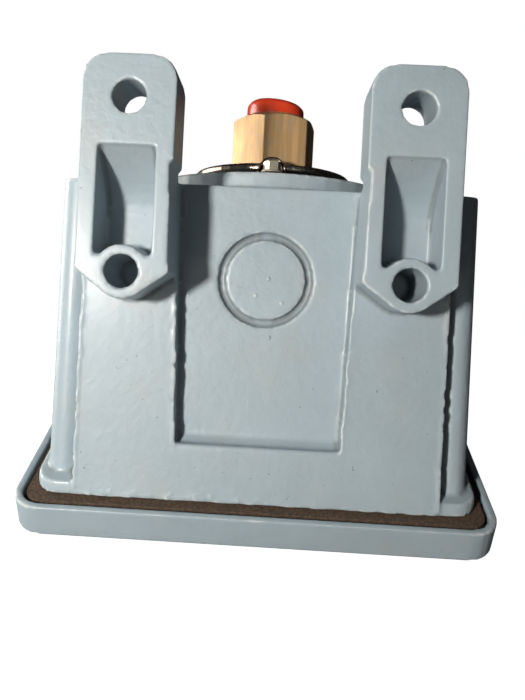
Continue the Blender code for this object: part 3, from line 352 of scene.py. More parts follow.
def machined_brass(colour):
    """Drawn hexagon bar: fine lines along the axis over slow stains."""
    finish = Finish("machined_brass", colour, 0.42, 0.4)
    lines = finish.noise(1.0, 3.0, 0.6, finish.stretched((3000, 3000, 90)))
    bands = finish.noise(1.0, 2.0, 0.5, finish.stretched((700, 700, 30)))
    stain = finish.noise(4 * MM, 4.0, 0.6)
    tone = finish.blend(finish.steps(bands, 0.35, 0.65), shade(colour, 0.84), shade(colour, 1.10))
    tone = finish.blend(finish.steps(stain, 0.45, 0.75) * 0.45, tone, (0.60, 0.44, 0.29))
    tone = finish.blend(finish.steps(lines, 0.50, 0.72) * 0.35, tone, (0.92, 0.78, 0.58))
    finish.set("Base Color", tone)
    finish.set("Roughness", 0.36 + 0.12 * bands + 0.12 * stain)
    finish.bump(lines * 0.7 + bands * 0.4, 0.03 * MM, 0.5)
    return finish.material


def glossy_plug(colour):
    """Soft injection-moulded plastic with a faint grain."""
    finish = Finish("glossy_plug", colour, 0.28, 0.0, Coat_Weight=0.35, Coat_Roughness=0.12)
    clouds = finish.noise(4 * MM, 2.0)
    grain = finish.noise(0.22 * MM, 2.0)
    finish.set("Base Color", finish.blend(clouds, shade(colour, 0.92), shade(colour, 1.08)))
    finish.set("Roughness", 0.22 + 0.10 * clouds + 0.06 * grain)
    finish.bump(clouds * 0.6 + grain * 0.2, 0.04 * MM, 0.4)
    return finish.material


def dark_disc(colour):
    """Pressed and polished dark sheet with a few rub marks."""
    finish = Finish("dark_disc", colour, 0.2, 1.0)
    rub_and_highlight = finish.noise(3 * MM, 4.0, 0.65)
    grain = finish.noise(0.25 * MM, 2.0)
    edge = finish.worn()
    tone = finish.blend(rub_and_highlight, shade(colour, 0.7), shade(colour, 1.35))
    # painted highlight: the disc's outer edges lightened to a warm tan
    tone = finish.blend(finish.steps(edge, 0.60, 0.90) * 0.55, tone, (0.46, 0.40, 0.33))
    finish.set("Base Color", tone)
    finish.set("Roughness", 0.16 + 0.18 * rub_and_highlight + 0.05 * grain)
    finish.bump(rub_and_highlight * 0.5 + grain * 0.1, 0.05 * MM, 0.4)
    return finish.material


def plated(name, colour, roughness=0.3):
    """Zinc or nickel plating: cloudy, with fine scratches."""
    finish = Finish(name, colour, roughness, 0.7)
    clouds = finish.noise(2.5 * MM, 3.0)
    scratch = finish.noise(1.0, 3.0, 0.65, finish.stretched((2200, 160, 900), turn=(0.2, 0.1, 0.5)))
    tone = finish.blend(clouds, shade(colour, 0.86), shade(colour, 1.12))
    tone = finish.blend(finish.steps(scratch, 0.60, 0.78) * 0.3, tone, shade(colour, 0.62))
    finish.set("Base Color", tone)
    finish.set("Roughness", roughness - 0.05 + 0.16 * clouds + 0.06 * scratch)
    finish.bump(scratch * 0.4 + clouds * 0.4, 0.02 * MM, 0.4)
    return finish.material


def moulded(name, colour, roughness=0.45, grain_size=0.35 * MM):
    """Moulded plastic with a fine spark-eroded grain."""
    finish = Finish(name, colour, roughness)
    clouds = finish.noise(7 * MM, 3.0)
    grain = finish.noise(grain_size, 2.0, 0.55)
    tone = finish.blend(clouds, shade(colour, 0.85), shade(colour, 1.2))
    finish.set("Base Color", finish.blend(finish.steps(grain, 0.55, 0.8) * 0.3, tone, shade(colour, 1.5)))
    finish.set("Roughness", roughness - 0.05 + 0.12 * clouds + 0.06 * grain)
    finish.bump(grain * 0.7 + clouds * 0.4, 0.05 * MM, 0.45)
    return finish.material


def cork_rubber(colour):
    """Gasket sheet: cork crumbs in dark rubber."""
    finish = Finish("cork_rubber", colour, 0.85)
    inputs = {"Vector": finish.place, "Scale": 1500.0}
    crumbs = finish.node("ShaderNodeTexVoronoi", {"feature": "F1"}, inputs)
    clouds = finish.noise(5 * MM, 3.0)
    fine = finish.noise(0.3 * MM, 2.0)
    tone = finish.blend(finish.steps(crumbs, 0.2, 0.7), (0.115, 0.075, 0.048), shade(colour, 0.75))
    finish.set("Base Color", finish.blend(clouds * 0.6, tone, shade(colour, 1.35)))
    finish.set("Roughness", 0.78 + 0.14 * fine)
    finish.bump(crumbs * 0.6 + fine * 0.5, 0.12 * MM, 0.7)
    return finish.material


def ruled_scale(colour, low, high):
    """Printed range scale: a white sheet with ten long and forty short lines."""
    finish = Finish("ruled_scale", colour, 0.4)
    across, _, up = finish.across()
    height = (high.z - low.z) * 0.86
    along = (up - (low.z + (high.z - low.z) * 0.07)) / height
    inside = (along > 0.0) * (along < 1.0)
    short = ((along * 50.0 + 0.5) % 1.0 > 0.36) * ((along * 50.0 + 0.5) % 1.0 < 0.64)
    long_ = ((along * 10.0 + 0.5) % 1.0 > 0.465) * ((along * 10.0 + 0.5) % 1.0 < 0.535)
    wide = high.x - low.x
    near = across - low.x
    mask = short * (near > wide * 0.30) * (near < wide * 0.46)
    longer = long_ * (near > wide * 0.30) * (near < wide * 0.58)
    mask = finish.node("ShaderNodeMath", {"operation": "MAXIMUM"}, {0: mask, 1: longer})
    dust = finish.noise(3 * MM, 3.0)
    tone = finish.blend(dust, shade(colour, 0.94), shade(colour, 1.04))
    finish.set("Base Color", finish.blend(mask * inside, tone, (0.02, 0.02, 0.022)))
    finish.set("Roughness", 0.34 + 0.14 * dust)
    return finish.material


# ---- shaping -------------------------------------------------------------------------
def put(name, bm, material, body, *nodes):
    """Make a bmesh an object that rides on a body and stands for some CAD nodes."""
    mesh = bpy.data.meshes.new(name)
    bm.to_mesh(mesh)
    bm.free()
    mesh.shade_smooth()
    piece = bpy.data.objects.new(name, mesh)
    bpy.context.scene.collection.objects.link(piece)
    if material is not None:
        mesh.materials.append(material)
    if body is not None:
        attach(piece, body)
        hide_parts(*nodes)
    return piece


def settle(piece):
    """Turn a piece's modifiers into its mesh."""
    rough = piece.data
    graph = bpy.context.evaluated_depsgraph_get()
    piece.data = bpy.data.meshes.new_from_object(piece.evaluated_get(graph))
    piece.modifiers.clear()
    bpy.data.meshes.remove(rough)


def boolean(piece, tool_bm, operation):
    """Cut a bmesh out of a piece, or keep what they share, at once."""
    tool = put(piece.name + "_tool", tool_bm, None, None)
    modifier = piece.modifiers.new("shape", "BOOLEAN")
    modifier.operation = operation
    modifier.solver = "EXACT"
    modifier.object = tool
    settle(piece)
    mesh = tool.data
    bpy.data.objects.remove(tool)
    bpy.data.meshes.remove(mesh)


def copied(node):
    """A merged copy of a CAD node's mesh."""
    bm = bmesh.new()
    bm.from_mesh(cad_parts[node].data)
    bmesh.ops.remove_doubles(bm, verts=bm.verts, dist=1e-6)
    return bm


def turned(profile, axis, steps=96, closed=True):
    """Spin (radius, height) points about the upright line through axis."""
    bm = bmesh.new()
    verts = [bm.verts.new((axis.x + radius, axis.y, height)) for radius, height in profile]
    pairs = list(zip(verts, verts[1:]))
    if closed:
        pairs.append((verts[-1], verts[0]))
    edges = [bm.edges.new(pair) for pair in pairs]
    bmesh.ops.spin(
        bm, geom=verts + edges, cent=(axis.x, axis.y, 0), axis=(0, 0, 1), angle=2 * math.pi, steps=steps,
        use_merge=True, use_duplicate=False,
    )
    bmesh.ops.remove_doubles(bm, verts=bm.verts, dist=1e-6)
    bmesh.ops.recalc_face_normals(bm, faces=bm.faces)
    return bm


def round_edges(bm, offset, segments=3, angle=30.0):
    """Bevel every edge that is sharper than an angle in degrees."""
    limit = math.radians(angle)
    edges = [edge for edge in bm.edges if len(edge.link_faces) == 2 and edge.calc_face_angle() > limit]
    bmesh.ops.bevel(
        bm, geom=edges, offset=offset, offset_type="OFFSET", segments=segments, profile=0.5,
        affect="EDGES", clamp_overlap=True, material=-1,
    )
    return bm


def skin(piece, size, rounds, triangles, lean=0.0):
    """Give a piece the soft edges of a casting: one closed skin, smoothed, then thinned.

    lean tips the piece about X while the skin's square mesh is laid on it.
    """
    piece.data.transform(Matrix.Rotation(-lean, 4, "X"))
    remesh = piece.modifiers.new("skin", "REMESH")
    remesh.mode = "VOXEL"
    remesh.voxel_size = size
    remesh.use_smooth_shade = True
    smooth = piece.modifiers.new("round", "SMOOTH")
    smooth.factor = 0.5
    smooth.iterations = rounds
    settle(piece)
    count = 2 * len(piece.data.polygons)
    if count > triangles:
        thin = piece.modifiers.new("thin", "DECIMATE")
        thin.ratio = triangles / count
        settle(piece)
    piece.data.transform(Matrix.Rotation(lean, 4, "X"))
    piece.data.shade_smooth()


def mark_edges(piece, full, passes=3):
    """Write the edge mask: 1 on outer edges that turn by full radians, 0 in such corners."""
    bm = bmesh.new()
    bm.from_mesh(piece.data)
    bm.verts.ensure_lookup_table()
    bend = []
    for vert in bm.verts:
        total = sum(
            edge.calc_face_angle_signed(0.0) / max(edge.calc_length(), 1e-5) for edge in vert.link_edges
        )
        bend.append(total / max(1, len(vert.link_edges)))
    for _ in range(passes):
        bend = [
            0.5 * bend[vert.index]
            + 0.5 * sum(bend[edge.other_vert(vert).index] for edge in vert.link_edges)
            / max(1, len(vert.link_edges))
            for vert in bm.verts
        ]
    bm.free()
    mask = piece.data.attributes.new("edge_mask", "FLOAT", "POINT")
    values = [max(0.0, min(1.0, 0.5 + 0.5 * value / full)) for value in bend]
    mask.data.foreach_set("value", values)


def rod(bm, start, end, radius, segments=10):
    """Add a capped rod between two points."""
    start, end = Vector(start), Vector(end)
    span = end - start
    turn = span.to_track_quat("Z", "Y").to_matrix().to_4x4()
    place = Matrix.Translation((start + end) / 2) @ turn
    bmesh.ops.create_cone(
        bm, cap_ends=True, segments=segments, radius1=radius, radius2=radius, depth=span.length,
        matrix=place,
    )


def pearl(bm, centre, radius, scale=(1, 1, 1)):
    """Add a small ball, flattened by scale."""
    place = Matrix.Translation(centre) @ Matrix.Diagonal((*scale, 1))
    bmesh.ops.create_icosphere(bm, subdivisions=2, radius=radius, matrix=place)


def middle(node):
    low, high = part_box(node)
    return (low + high) / 2


def dress(node, material, offset, segments=2, angle=28.0):
    """Keep a CAD node: break its edges and give it a finish."""
    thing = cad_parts[node]
    thing.data.materials.clear()
    thing.data.materials.append(material)
    weld = thing.modifiers.new("weld", "WELD")
    weld.merge_threshold = 1e-6
    if offset > 0.0:
        bevel = thing.modifiers.new("edge break", "BEVEL")
        bevel.width = offset
        bevel.segments = segments
        bevel.limit_method = "ANGLE"
        bevel.angle_limit = math.radians(angle)
        bevel.harden_normals = True
    return thing


def material_of(maker, *args):
    """The named finish, made once."""
    name = args[0] if isinstance(args[0], str) else maker.__name__
    return bpy.data.materials.get(name) or maker(*args)


# ---- pieces --------------------------------------------------------------------------
SLANT = math.radians(25.0)          # the cover plane against the floor
PAD_FACE = 12.0 * MM                # ear face to pad face
PAD_HALF = 41.6 * MM
PANEL_FACE = 16.0 * MM
PANEL_HALF_TOP = 20.85 * MM
PANEL_HALF_LOW = 19.0 * MM
PANEL_LOW_Z = -56.5 * MM
TOP_Z = 3.3 * MM
PAD_LOW_Z = -69.7 * MM
KNOCKOUT_Z = -18.3 * MM
KNOCKOUT_DOTS = ((0.7, 0.4), (-2.1, -3.6), (4.0, -5.1))
ARCH = (                            # pressed bubble over a sensor screw: across and up
    (-3.6, -0.6), (-3.0, -0.1), (-2.4, 0.5), (-1.9, 1.15), (-1.2, 1.55), (0.0, 1.7),
    (1.2, 1.55), (1.9, 1.15), (2.4, 0.5), (3.0, -0.1), (3.6, -0.6),
)


def flash_line(bm, start, end, radius, generator):
    """Uneven cast flash along an edge: short rods whose ends wander a little."""
    start, end = Vector(start), Vector(end)
    count = max(2, int((end - start).length / (2.2 * MM)))
    wander = 0.16 * MM
    spots = []
    for index in range(count + 1):
        spot = start.lerp(end, index / count)
        shift = Vector((generator.uniform(-1, 1), generator.uniform(-0.5, 0.5), generator.uniform(-1, 1)))
        spots.append(spot + shift * wander)
    for here, there in zip(spots, spots[1:]):
        rod(bm, here, there, radius * generator.uniform(0.72, 1.18))


class SWITCH_OT_enclosure(bpy.types.Operator):
    """Cast enclosure with its ears, pads, recessed panel and knockout"""

    bl_idname = "switch.enclosure"
    bl_label = "Enclosure"

    def execute(self, context):
        sizes = context.scene.switch_sizes
        paint = material_of(cast_paint, tuple(context.scene.switch_colours.paint))
        generator = random.Random(4)
        bm = copied("enclosure_body")
        radius = sizes.flash_radius
        for side in (-1, 1):
            top = (side * PAD_HALF, PAD_FACE + 0.1 * MM, TOP_Z - 0.6 * MM)
            low = (side * PAD_HALF, PAD_FACE + 0.1 * MM, PAD_LOW_Z + 1.2 * MM)
            flash_line(bm, top, low, radius, generator)
            top = (side * PANEL_HALF_TOP, PAD_FACE + 0.12 * MM, TOP_Z - 0.6 * MM)
            low = (side * PANEL_HALF_LOW, PAD_FACE + 0.12 * MM, PANEL_LOW_Z)
            flash_line(bm, top, low, radius * 0.8, generator)
        left = (-PAD_HALF + 0.5 * MM, PAD_FACE + 0.1 * MM, PAD_LOW_Z + 0.5 * MM)
        right = (PAD_HALF - 0.5 * MM, PAD_FACE + 0.1 * MM, PAD_LOW_Z + 0.5 * MM)
        flash_line(bm, left, right, radius * 0.5, generator)
        for across in (-38, -35, -33, -29, -27.5, -24, -20, -19, -15, -13.5, -10, -7, -4, 1, 6, 14, 22):
            spot = (across * MM, PAD_FACE, PAD_LOW_Z + generator.uniform(0.5, 1.4) * MM)
            pearl(bm, spot, generator.uniform(0.35, 0.5) * MM, (1.1, 0.7, 0.9))
        step = PANEL_HALF_LOW + 0.2 * MM
        rod(bm, (-step, PANEL_FACE, PANEL_LOW_Z), (step, PANEL_FACE, PANEL_LOW_Z), 1.5 * MM, 4)
        enclosure = put("cast_enclosure", bm, paint, "enclosure", "enclosure_body")
        skin(enclosure, sizes.cast_skin, sizes.cast_rounds, sizes.cast_triangles)
        details = bmesh.new()
        details.from_mesh(enclosure.data)
        for across, up in KNOCKOUT_DOTS:
            centre = (across * MM, PANEL_FACE, KNOCKOUT_Z + up * MM)
            pearl(details, centre, 0.55 * MM, (1.0, 0.5, 1.0))
        pearl(details, (1.5 * MM, PANEL_FACE, KNOCKOUT_Z - 13.2 * MM), 0.5 * MM, (1.0, 0.5, 1.0))
        details.to_mesh(enclosure.data)
        details.free()
        enclosure.data.shade_smooth()
        mark_edges(enclosure, 700.0)
        return {"FINISHED"}


class SWITCH_OT_cover(bpy.types.Operator):
    """Cover tray, its gasket and the plate on its face"""

    bl_idname = "switch.cover"
    bl_label = "Cover"

    def execute(self, context):
        sizes = context.scene.switch_sizes
        colours = context.scene.switch_colours
        paint = material_of(cast_paint, tuple(colours.paint))
        cover = put("cast_cover", copied("cover"), paint, "cover_assembly", "cover")
        skin(cover, sizes.cast_skin, sizes.cast_rounds, sizes.cast_triangles * 0.75, SLANT)
        mark_edges(cover, 700.0)
        dress("cover_gasket", material_of(cork_rubber, tuple(colours.gasket)), 0.35 * MM)
        dress("nameplate", material_of(plated, "plate_metal", (0.70, 0.71, 0.72), 0.34), 0.08 * MM)
        return {"FINISHED"}


class SWITCH_OT_sensor(bpy.types.Operator):
    """Sensor stack: dark pressed disc, base, diaphragm and its ring"""

    bl_idname = "switch.sensor"
    bl_label = "Sensor"

    def execute(self, context):
        colours = context.scene.switch_colours
        dark = material_of(dark_disc, tuple(colours.disc))
        _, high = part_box("sensor_flange")
        bm = copied("sensor_flange")
        for index in (1, 2, 3):
            place = middle("sensor_screw_%d" % index)
            centre = middle("sensor_flange")
            out = Vector((place.x - centre.x, place.y - centre.y, 0)).normalized()
            base = Vector((place.x, place.y, high.z)) - out * 1.6 * MM
            along = Vector((-out.y, out.x, 0))
            ring = [
                base + along * across * MM + Vector((0, 0, rise * MM)) for across, rise in ARCH
            ]
            for here, there in zip(ring, ring[1:]):
                rod(bm, here, there, 0.5 * MM, 12)
        disc = put("sensor_disc", bm, dark, "enclosure", "sensor_flange")
        skin(disc, 0.24 * MM, 5, 120000)
        mark_edges(disc, 500.0)
        zinc = material_of(plated, "bright_zinc", tuple(colours.zinc), 0.28)
        dress("sensor_base", zinc, 0.1 * MM)
        dress("diaphragm", zinc, 0.05 * MM)
        dress("sensor_o_ring", material_of(moulded, "black_rubber", (0.02, 0.02, 0.022), 0.6), 0.0)
        return {"FINISHED"}


class SWITCH_OT_port(bpy.types.Operator):
    """Hexagonal pressure fitting with a threaded mouth"""

    bl_idname = "switch.port"
    bl_label = "Pressure port"

    def execute(self, context):
        sizes = context.scene.switch_sizes
        low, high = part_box("pressure_port")
        _, disc_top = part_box("sensor_flange")
        axis = middle("sensor_flange")
        foot = disc_top.z + 0.3 * MM
        corner = sizes.hex_flats / math.sqrt(3)
        bm = bmesh.new()
        turn = Matrix.Rotation(sizes.hex_turn - math.radians(30), 4, "Z")
        place = Matrix.Translation((axis.x, axis.y, (foot + high.z) / 2)) @ turn
        bmesh.ops.create_cone(
            bm, cap_ends=True, segments=6, radius1=corner, radius2=corner, depth=high.z - foot, matrix=place
        )
        upright = [edge for edge in bm.edges if abs(edge.verts[0].co.z - edge.verts[1].co.z) > MM]
        bmesh.ops.bevel(
            bm, geom=upright, offset=0.32 * MM, offset_type="OFFSET", segments=3, profile=0.5,
            affect="EDGES", clamp_overlap=True, material=-1,
        )
        brass = material_of(machined_brass, tuple(context.scene.switch_colours.brass))
        port = put("hex_fitting", bm, brass, "enclosure", "pressure_port")
        rise = (corner + MM - sizes.hex_face) * math.tan(math.radians(30))
        blank = [
            (0, high.z), (sizes.hex_face, high.z), (corner + MM, high.z - rise),
            (corner + MM, foot + 0.5 * MM), (corner - 0.5 * MM, foot), (0, foot),
        ]
        boolean(port, turned(blank, axis, 128, closed=False), "INTERSECT")
        spigot = 7.7 * MM
        neck = [(0, low.z), (spigot, low.z), (spigot, foot + MM), (0, foot + MM)]
        boolean(port, turned(neck, axis, 96, closed=False), "UNION")
        mouth = 5.75 * MM
        floor = high.z - 13.5 * MM
        bore = [(0, low.z - MM), (1.6 * MM, low.z - MM), (1.6 * MM, floor), (mouth - 0.9 * MM, floor)]
        level = floor + 0.8 * MM
        while level < high.z - 1.0 * MM:
            taper = (high.z - level) / 32
            bore.append((mouth - 0.55 * MM - taper, level))
            bore.append((mouth + 0.1 * MM - taper, level + sizes.thread_pitch / 2))
            level += sizes.thread_pitch
        bore += [(mouth, high.z - 0.7 * MM), (mouth + 0.7 * MM, high.z), (mouth + 0.7 * MM, high.z + MM)]
        bore.append((0, high.z + MM))
        boolean(port, turned(bore, axis, 96, closed=False), "DIFFERENCE")
        port.data.set_sharp_from_angle(angle=math.radians(28))
        edge = port.modifiers.new("edge break", "BEVEL")
        edge.width = sizes.edge_break
        edge.segments = 2
        edge.limit_method = "ANGLE"
        edge.angle_limit = math.radians(28)
        edge.harden_normals = True
        return {"FINISHED"}


class SWITCH_OT_plug(bpy.types.Operator):
    """Push-in plastic plug with a rounded head and a hollow stem"""

    bl_idname = "switch.plug"
    bl_label = "Port plug"

    def execute(self, context):
        low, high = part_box("port_plug")
        axis = middle("port_plug")
        wide = (high.x - low.x) / 2
        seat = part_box("pressure_port")[1].z + 0.3 * MM
        stem = 5.0 * MM
        profile = [
            (0, high.z), (wide * 0.55, high.z - 0.05 * MM), (wide * 0.86, high.z - 0.45 * MM),
            (wide - 0.12 * MM, high.z - 1.6 * MM), (wide, high.z - 2.9 * MM), (wide - 0.05 * MM, seat),
            (stem, seat), (stem - 0.3 * MM, low.z), (stem - 1.4 * MM, low.z),
            (stem - 1.1 * MM, seat + 1.9 * MM), (0, seat + 2.0 * MM),
        ]
        bm = round_edges(turned(profile, axis, 96, closed=False), 0.3 * MM, 3, 35)
        for vert in bm.verts:
            if vert.co.z > seat:
                share = (vert.co.z - seat) / (high.z - seat)
                slope = share * (0.35 + (vert.co.x - axis.x) / wide * 0.65)
                vert.co.z -= max(0.0, slope) * 1.1 * MM
        red = material_of(glossy_plug, tuple(context.scene.switch_colours.plug))
        plug = put("red_plug", bm, red, "port_plug", "port_plug")
        finish = plug.modifiers.new("round", "SUBSURF")
        finish.levels = 1
        finish.render_levels = 1
        return {"FINISHED"}


class SWITCH_OT_screws(bpy.types.Operator):
    """Cover screws with slotted pan heads and hexagon-head sensor screws"""

    bl_idname = "switch.screws"
    bl_label = "Screws"

    def execute(self, context):
        zinc = material_of(plated, "bright_zinc", tuple(context.scene.switch_colours.zinc), 0.28)
        for index in (1, 2, 3, 4):
            dress("cover_screw_%d" % index, zinc, 0.12 * MM)
        for index in (1, 2, 3):
            node = "sensor_screw_%d" % index
            low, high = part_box(node)
            centre = middle(node)
            flats = 4.0 * MM
            corner = flats / math.sqrt(3)
            seat = high.z - 3.2 * MM
            bm = bmesh.new()
            place = Matrix.Translation((centre.x, centre.y, (seat + high.z) / 2))
            turn = Matrix.Rotation(math.radians(30 + 12 * index), 4, "Z")
            bmesh.ops.create_cone(
                bm, cap_ends=True, segments=6, radius1=corner, radius2=corner, depth=high.z - seat,
                matrix=place @ turn,
            )
            screw = put("hex_screw_%d" % index, bm, zinc, "enclosure", node)
            dome = [
                (0, high.z), (flats * 0.36, high.z - 0.05 * MM), (flats * 0.47, high.z - 0.3 * MM),
                (corner + MM, high.z - 1.6 * MM), (corner + MM, seat - MM), (0, seat - MM),
            ]
            boolean(screw, turned(dome, centre, 48, closed=False), "INTERSECT")
            washer = [
                (0, seat), (2.75 * MM, seat), (2.85 * MM, seat + 0.25 * MM), (2.7 * MM, seat + 0.5 * MM),
                (0, seat + 0.5 * MM),
            ]
            boolean(screw, turned(washer, centre, 48, closed=False), "UNION")
            shank = [
                (0, low.z), (1.1 * MM, low.z), (1.3 * MM, low.z + 0.3 * MM), (1.3 * MM, seat + 0.2 * MM),
            ]
            shank.append((0, seat + 0.2 * MM))
            boolean(screw, turned(shank, centre, 24, closed=False), "UNION")
            screw.data.set_sharp_from_angle(angle=math.radians(30))
            edge = screw.modifiers.new("edge break", "BEVEL")
            edge.width = 0.12 * MM
            edge.segments = 2
            edge.limit_method = "ANGLE"
            edge.angle_limit = math.radians(28)
            edge.harden_normals = True
        for name in (
            "chassis_screw_rear", "chassis_screw_front", "bracket_screw_rear", "bracket_screw_front",
        ):
            dress(name, zinc, 0.1 * MM)
        dress("ground_screw", material_of(plated, "green_screw", (0.06, 0.33, 0.12), 0.35), 0.1 * MM)
        return {"FINISHED"}


class SWITCH_OT_spring(bpy.types.Operator):
    """Range spring: a smooth coil"""

    bl_idname = "switch.spring"
    bl_label = "Range spring"

    def execute(self, context):
        turns = context.scene.switch_sizes.spring_turns
        low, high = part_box("range_spring")
        axis = middle("range_spring")
        wire = 0.68 * MM
        radius = (high.x - low.x) / 2 - wire
        stroke_room = 0.3 * MM
        climb = high.z - low.z - 2 * wire - stroke_room
        bm = bmesh.new()
        upright = Matrix.Rotation(math.pi / 2, 4, "X")
        place = Matrix.Translation((axis.x + radius, axis.y, low.z + wire)) @ upright
        bmesh.ops.create_circle(bm, cap_ends=True, segments=14, radius=wire, matrix=place)
        first = bm.faces[:]
        steps = int(40 * turns)
        bmesh.ops.spin(
            bm, geom=first, cent=(axis.x, axis.y, 0), axis=(0, 0, 1), dvec=(0, 0, climb / steps),
            angle=2 * math.pi * turns, steps=steps, use_merge=False, use_duplicate=False,
        )
        bmesh.ops.recalc_face_normals(bm, faces=bm.faces)
        steel = material_of(plated, "spring_wire", (0.42, 0.41, 0.39), 0.3)
        spring = put("coil_spring", bm, steel, "enclosure", "range_spring")
        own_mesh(spring)
        return {"FINISHED"}


class SWITCH_OT_mechanism(bpy.types.Operator):
    """Plunger, lever, chassis, range screw with its seat and pointer, and the scale"""

    bl_idname = "switch.mechanism"
    bl_label = "Mechanism"

    def execute(self, context):
        colours = context.scene.switch_colours
        edge = context.scene.switch_sizes.edge_break
        zinc = material_of(plated, "bright_zinc", tuple(colours.zinc), 0.28)
        plate = material_of(plated, "chassis_plate", (0.54, 0.55, 0.52), 0.36)
        for name in ("chassis", "lower_plate", "actuator_lever"):
            dress(name, plate, edge)
        for name in ("plunger", "lever_pin"):
            dress(name, zinc, edge)
        brass = material_of(plated, "turned_brass", (0.66, 0.48, 0.24), 0.3)
        dress("spring_seat", brass, edge)
        dress("adjusting_screw", brass, edge)
        dress("retaining_ring", material_of(plated, "blued_ring", (0.12, 0.115, 0.12), 0.34), 0.05 * MM)
        dress("pointer", material_of(moulded, "pointer_red", (0.62, 0.03, 0.02), 0.35), 0.08 * MM)
        low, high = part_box("scale_plate")
        dress("scale_plate", material_of(ruled_scale, (0.80, 0.78, 0.70), low, high), 0.05 * MM)
        return {"FINISHED"}


class SWITCH_OT_snap_switch(bpy.types.Operator):
    """Snap switch with its button, terminals, bracket and insulating sheet"""

    bl_idname = "switch.snap_switch"
    bl_label = "Snap switch"

    def execute(self, context):
        colours = context.scene.switch_colours
        edge = context.scene.switch_sizes.edge_break
        phenolic = material_of(moulded, "black_phenolic", (0.018, 0.018, 0.02), 0.42)
        dress("switch_housing", phenolic, 0.35 * MM, 3)
        dress("switch_button", material_of(moulded, "pointer_red", (0.62, 0.03, 0.02), 0.35), 0.15 * MM)
        zinc = material_of(plated, "bright_zinc", tuple(colours.zinc), 0.28)
        plate = material_of(plated, "chassis_plate", (0.54, 0.55, 0.52), 0.36)
        dress("switch_bracket", plate, edge)
        dress("switch_screw_1", zinc, 0.1 * MM)
        dress("switch_screw_2", zinc, 0.1 * MM)
        brass = material_of(plated, "turned_brass", (0.66, 0.48, 0.24), 0.3)
        for name in ("common", "normally_open", "normally_closed"):
            dress("terminal_" + name, brass, 0.08 * MM)
            dress("terminal_screw_" + name, zinc, 0.1 * MM)
        fibre = material_of(moulded, "grey_fibre", (0.30, 0.31, 0.32), 0.75, 0.9 * MM)
        dress("insulator_sheet", fibre, 0.05 * MM)
        return {"FINISHED"}


def lamp(name, place, target, size, power, colour):
    """A square area light that looks at a point and doesn't show itself."""
    light = bpy.data.lights.new(name, "AREA")
    light.shape = "DISK"
    light.size = size
    light.energy = power
    light.color = colour
    thing = bpy.data.objects.new(name, light)
    thing.location = place
    thing.rotation_euler = (Vector(target) - Vector(place)).to_track_quat("-Z", "Y").to_euler()
    thing.visible_camera = False
    bpy.context.scene.collection.objects.link(thing)


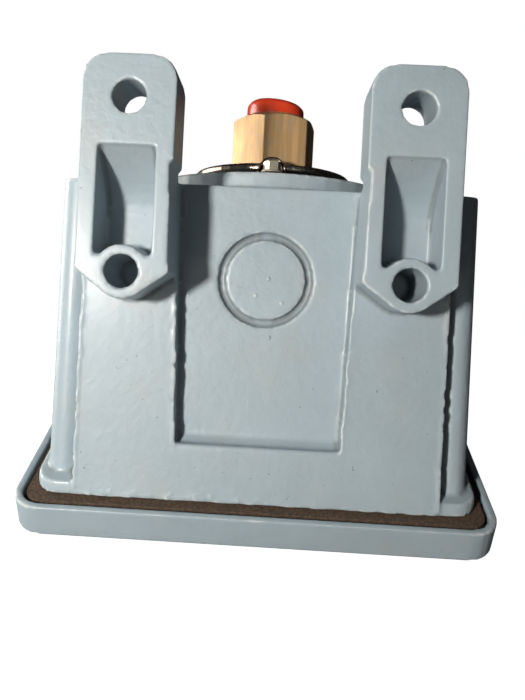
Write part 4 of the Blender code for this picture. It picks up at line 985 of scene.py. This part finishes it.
class SWITCH_OT_stage(bpy.types.Operator):
    """Pale floor and surroundings, soft lights and the camera"""

    bl_idname = "switch.stage"
    bl_label = "Stage"

    def execute(self, context):
        lights = context.scene.switch_lights
        low, high = CAD_BOX
        centre = (low + high) / 2
        bm = bmesh.new()
        place = Matrix.Translation((centre.x, centre.y, low.z - 0.2 * MM))
        bmesh.ops.create_circle(bm, cap_ends=True, segments=96, radius=3.0, matrix=place)
        finish = Finish("pale_floor", (0.26, 0.26, 0.26), 0.7)
        clouds = finish.noise(0.4, 2.0)
        finish.set("Base Color", finish.blend(clouds, (0.25, 0.25, 0.25), (0.28, 0.28, 0.28)))
        finish.set("Emission Color", (1.0, 1.0, 1.0, 1.0))
        seen = finish.node("ShaderNodeLightPath", output="Is Camera Ray")
        finish.set("Emission Strength", seen)
        floor = put("floor", bm, finish.material, None)

        world = bpy.data.worlds.new("pale_room")
        world.use_nodes = True
        context.scene.world = world
        tree = world.node_tree
        back = tree.nodes["Background"]
        back.inputs["Color"].default_value = (0.95, 0.97, 1.0, 1.0)
        back.inputs["Strength"].default_value = lights.sky
        seen = tree.nodes.new("ShaderNodeBackground")
        seen.inputs["Color"].default_value = (1.0, 1.0, 1.0, 1.0)
        seen.inputs["Strength"].default_value = 1.0
        path = tree.nodes.new("ShaderNodeLightPath")
        mix = tree.nodes.new("ShaderNodeMixShader")
        tree.links.new(path.outputs["Is Camera Ray"], mix.inputs[0])
        tree.links.new(back.outputs[0], mix.inputs[1])
        tree.links.new(seen.outputs[0], mix.inputs[2])
        tree.links.new(mix.outputs[0], tree.nodes["World Output"].inputs["Surface"])

        aim = (0, 0.02, -0.03)
        lamp("key", (-0.15, -0.27, -0.01), aim, 0.034, lights.key_power, (1.0, 0.96, 0.90))
        lamp("window", (-0.55, 0.16, 0.07), (0, 0.05, 0.01), 0.40, lights.window_power, (1.0, 0.97, 0.92))
        lamp("fill", (0.25, -0.35, 0.50), aim, 0.45, lights.fill_power, (0.95, 0.98, 1.0))

        camera = bpy.data.cameras.new("camera")
        camera.sensor_width = 36.0
        camera.lens = lights.lens
        camera.shift_x, camera.shift_y = lights.shift
        camera.clip_start = 0.001
        eye = bpy.data.objects.new("camera", camera)
        eye.location = lights.eye
        eye.rotation_euler = lights.gaze
        context.scene.collection.objects.link(eye)
        context.scene.camera = eye
        context.scene.view_settings.view_transform = "Standard"
        return {"FINISHED"}


class SWITCH_PT_looks(bpy.types.Panel):
    """Buttons for the pieces, in the order in which they are made"""

    bl_idname = "SWITCH_PT_looks"
    bl_label = "Pressure switch"
    bl_space_type = "VIEW_3D"
    bl_region_type = "UI"
    bl_category = "Pressure switch"

    def draw(self, context):
        for group in (context.scene.switch_sizes, context.scene.switch_colours, context.scene.switch_lights):
            box = self.layout.box()
            for name in group.__annotations__:
                box.prop(group, name)
        for operator in OPERATORS:
            self.layout.operator(operator.bl_idname)


OPERATORS = (
    SWITCH_OT_enclosure, SWITCH_OT_cover, SWITCH_OT_sensor, SWITCH_OT_port, SWITCH_OT_plug, SWITCH_OT_screws,
    SWITCH_OT_spring, SWITCH_OT_mechanism, SWITCH_OT_snap_switch, SWITCH_OT_stage,
)
GROUPS = (SwitchSizes, SwitchColours, SwitchLights)


def register():
    for item in GROUPS + OPERATORS + (SWITCH_PT_looks,):
        bpy.utils.register_class(item)
    bpy.types.Scene.switch_sizes = PointerProperty(type=SwitchSizes)
    bpy.types.Scene.switch_colours = PointerProperty(type=SwitchColours)
    bpy.types.Scene.switch_lights = PointerProperty(type=SwitchLights)


def unregister():
    del bpy.types.Scene.switch_lights
    del bpy.types.Scene.switch_colours
    del bpy.types.Scene.switch_sizes
    for item in reversed(GROUPS + OPERATORS + (SWITCH_PT_looks,)):
        bpy.utils.unregister_class(item)


def main():
    register()
    bpy.ops.switch.enclosure()
    bpy.ops.switch.cover()
    bpy.ops.switch.sensor()
    bpy.ops.switch.port()
    bpy.ops.switch.plug()
    bpy.ops.switch.screws()
    bpy.ops.switch.spring()
    bpy.ops.switch.mechanism()
    bpy.ops.switch.snap_switch()
    bpy.ops.switch.stage()


if __name__ == "__main__":
    main()
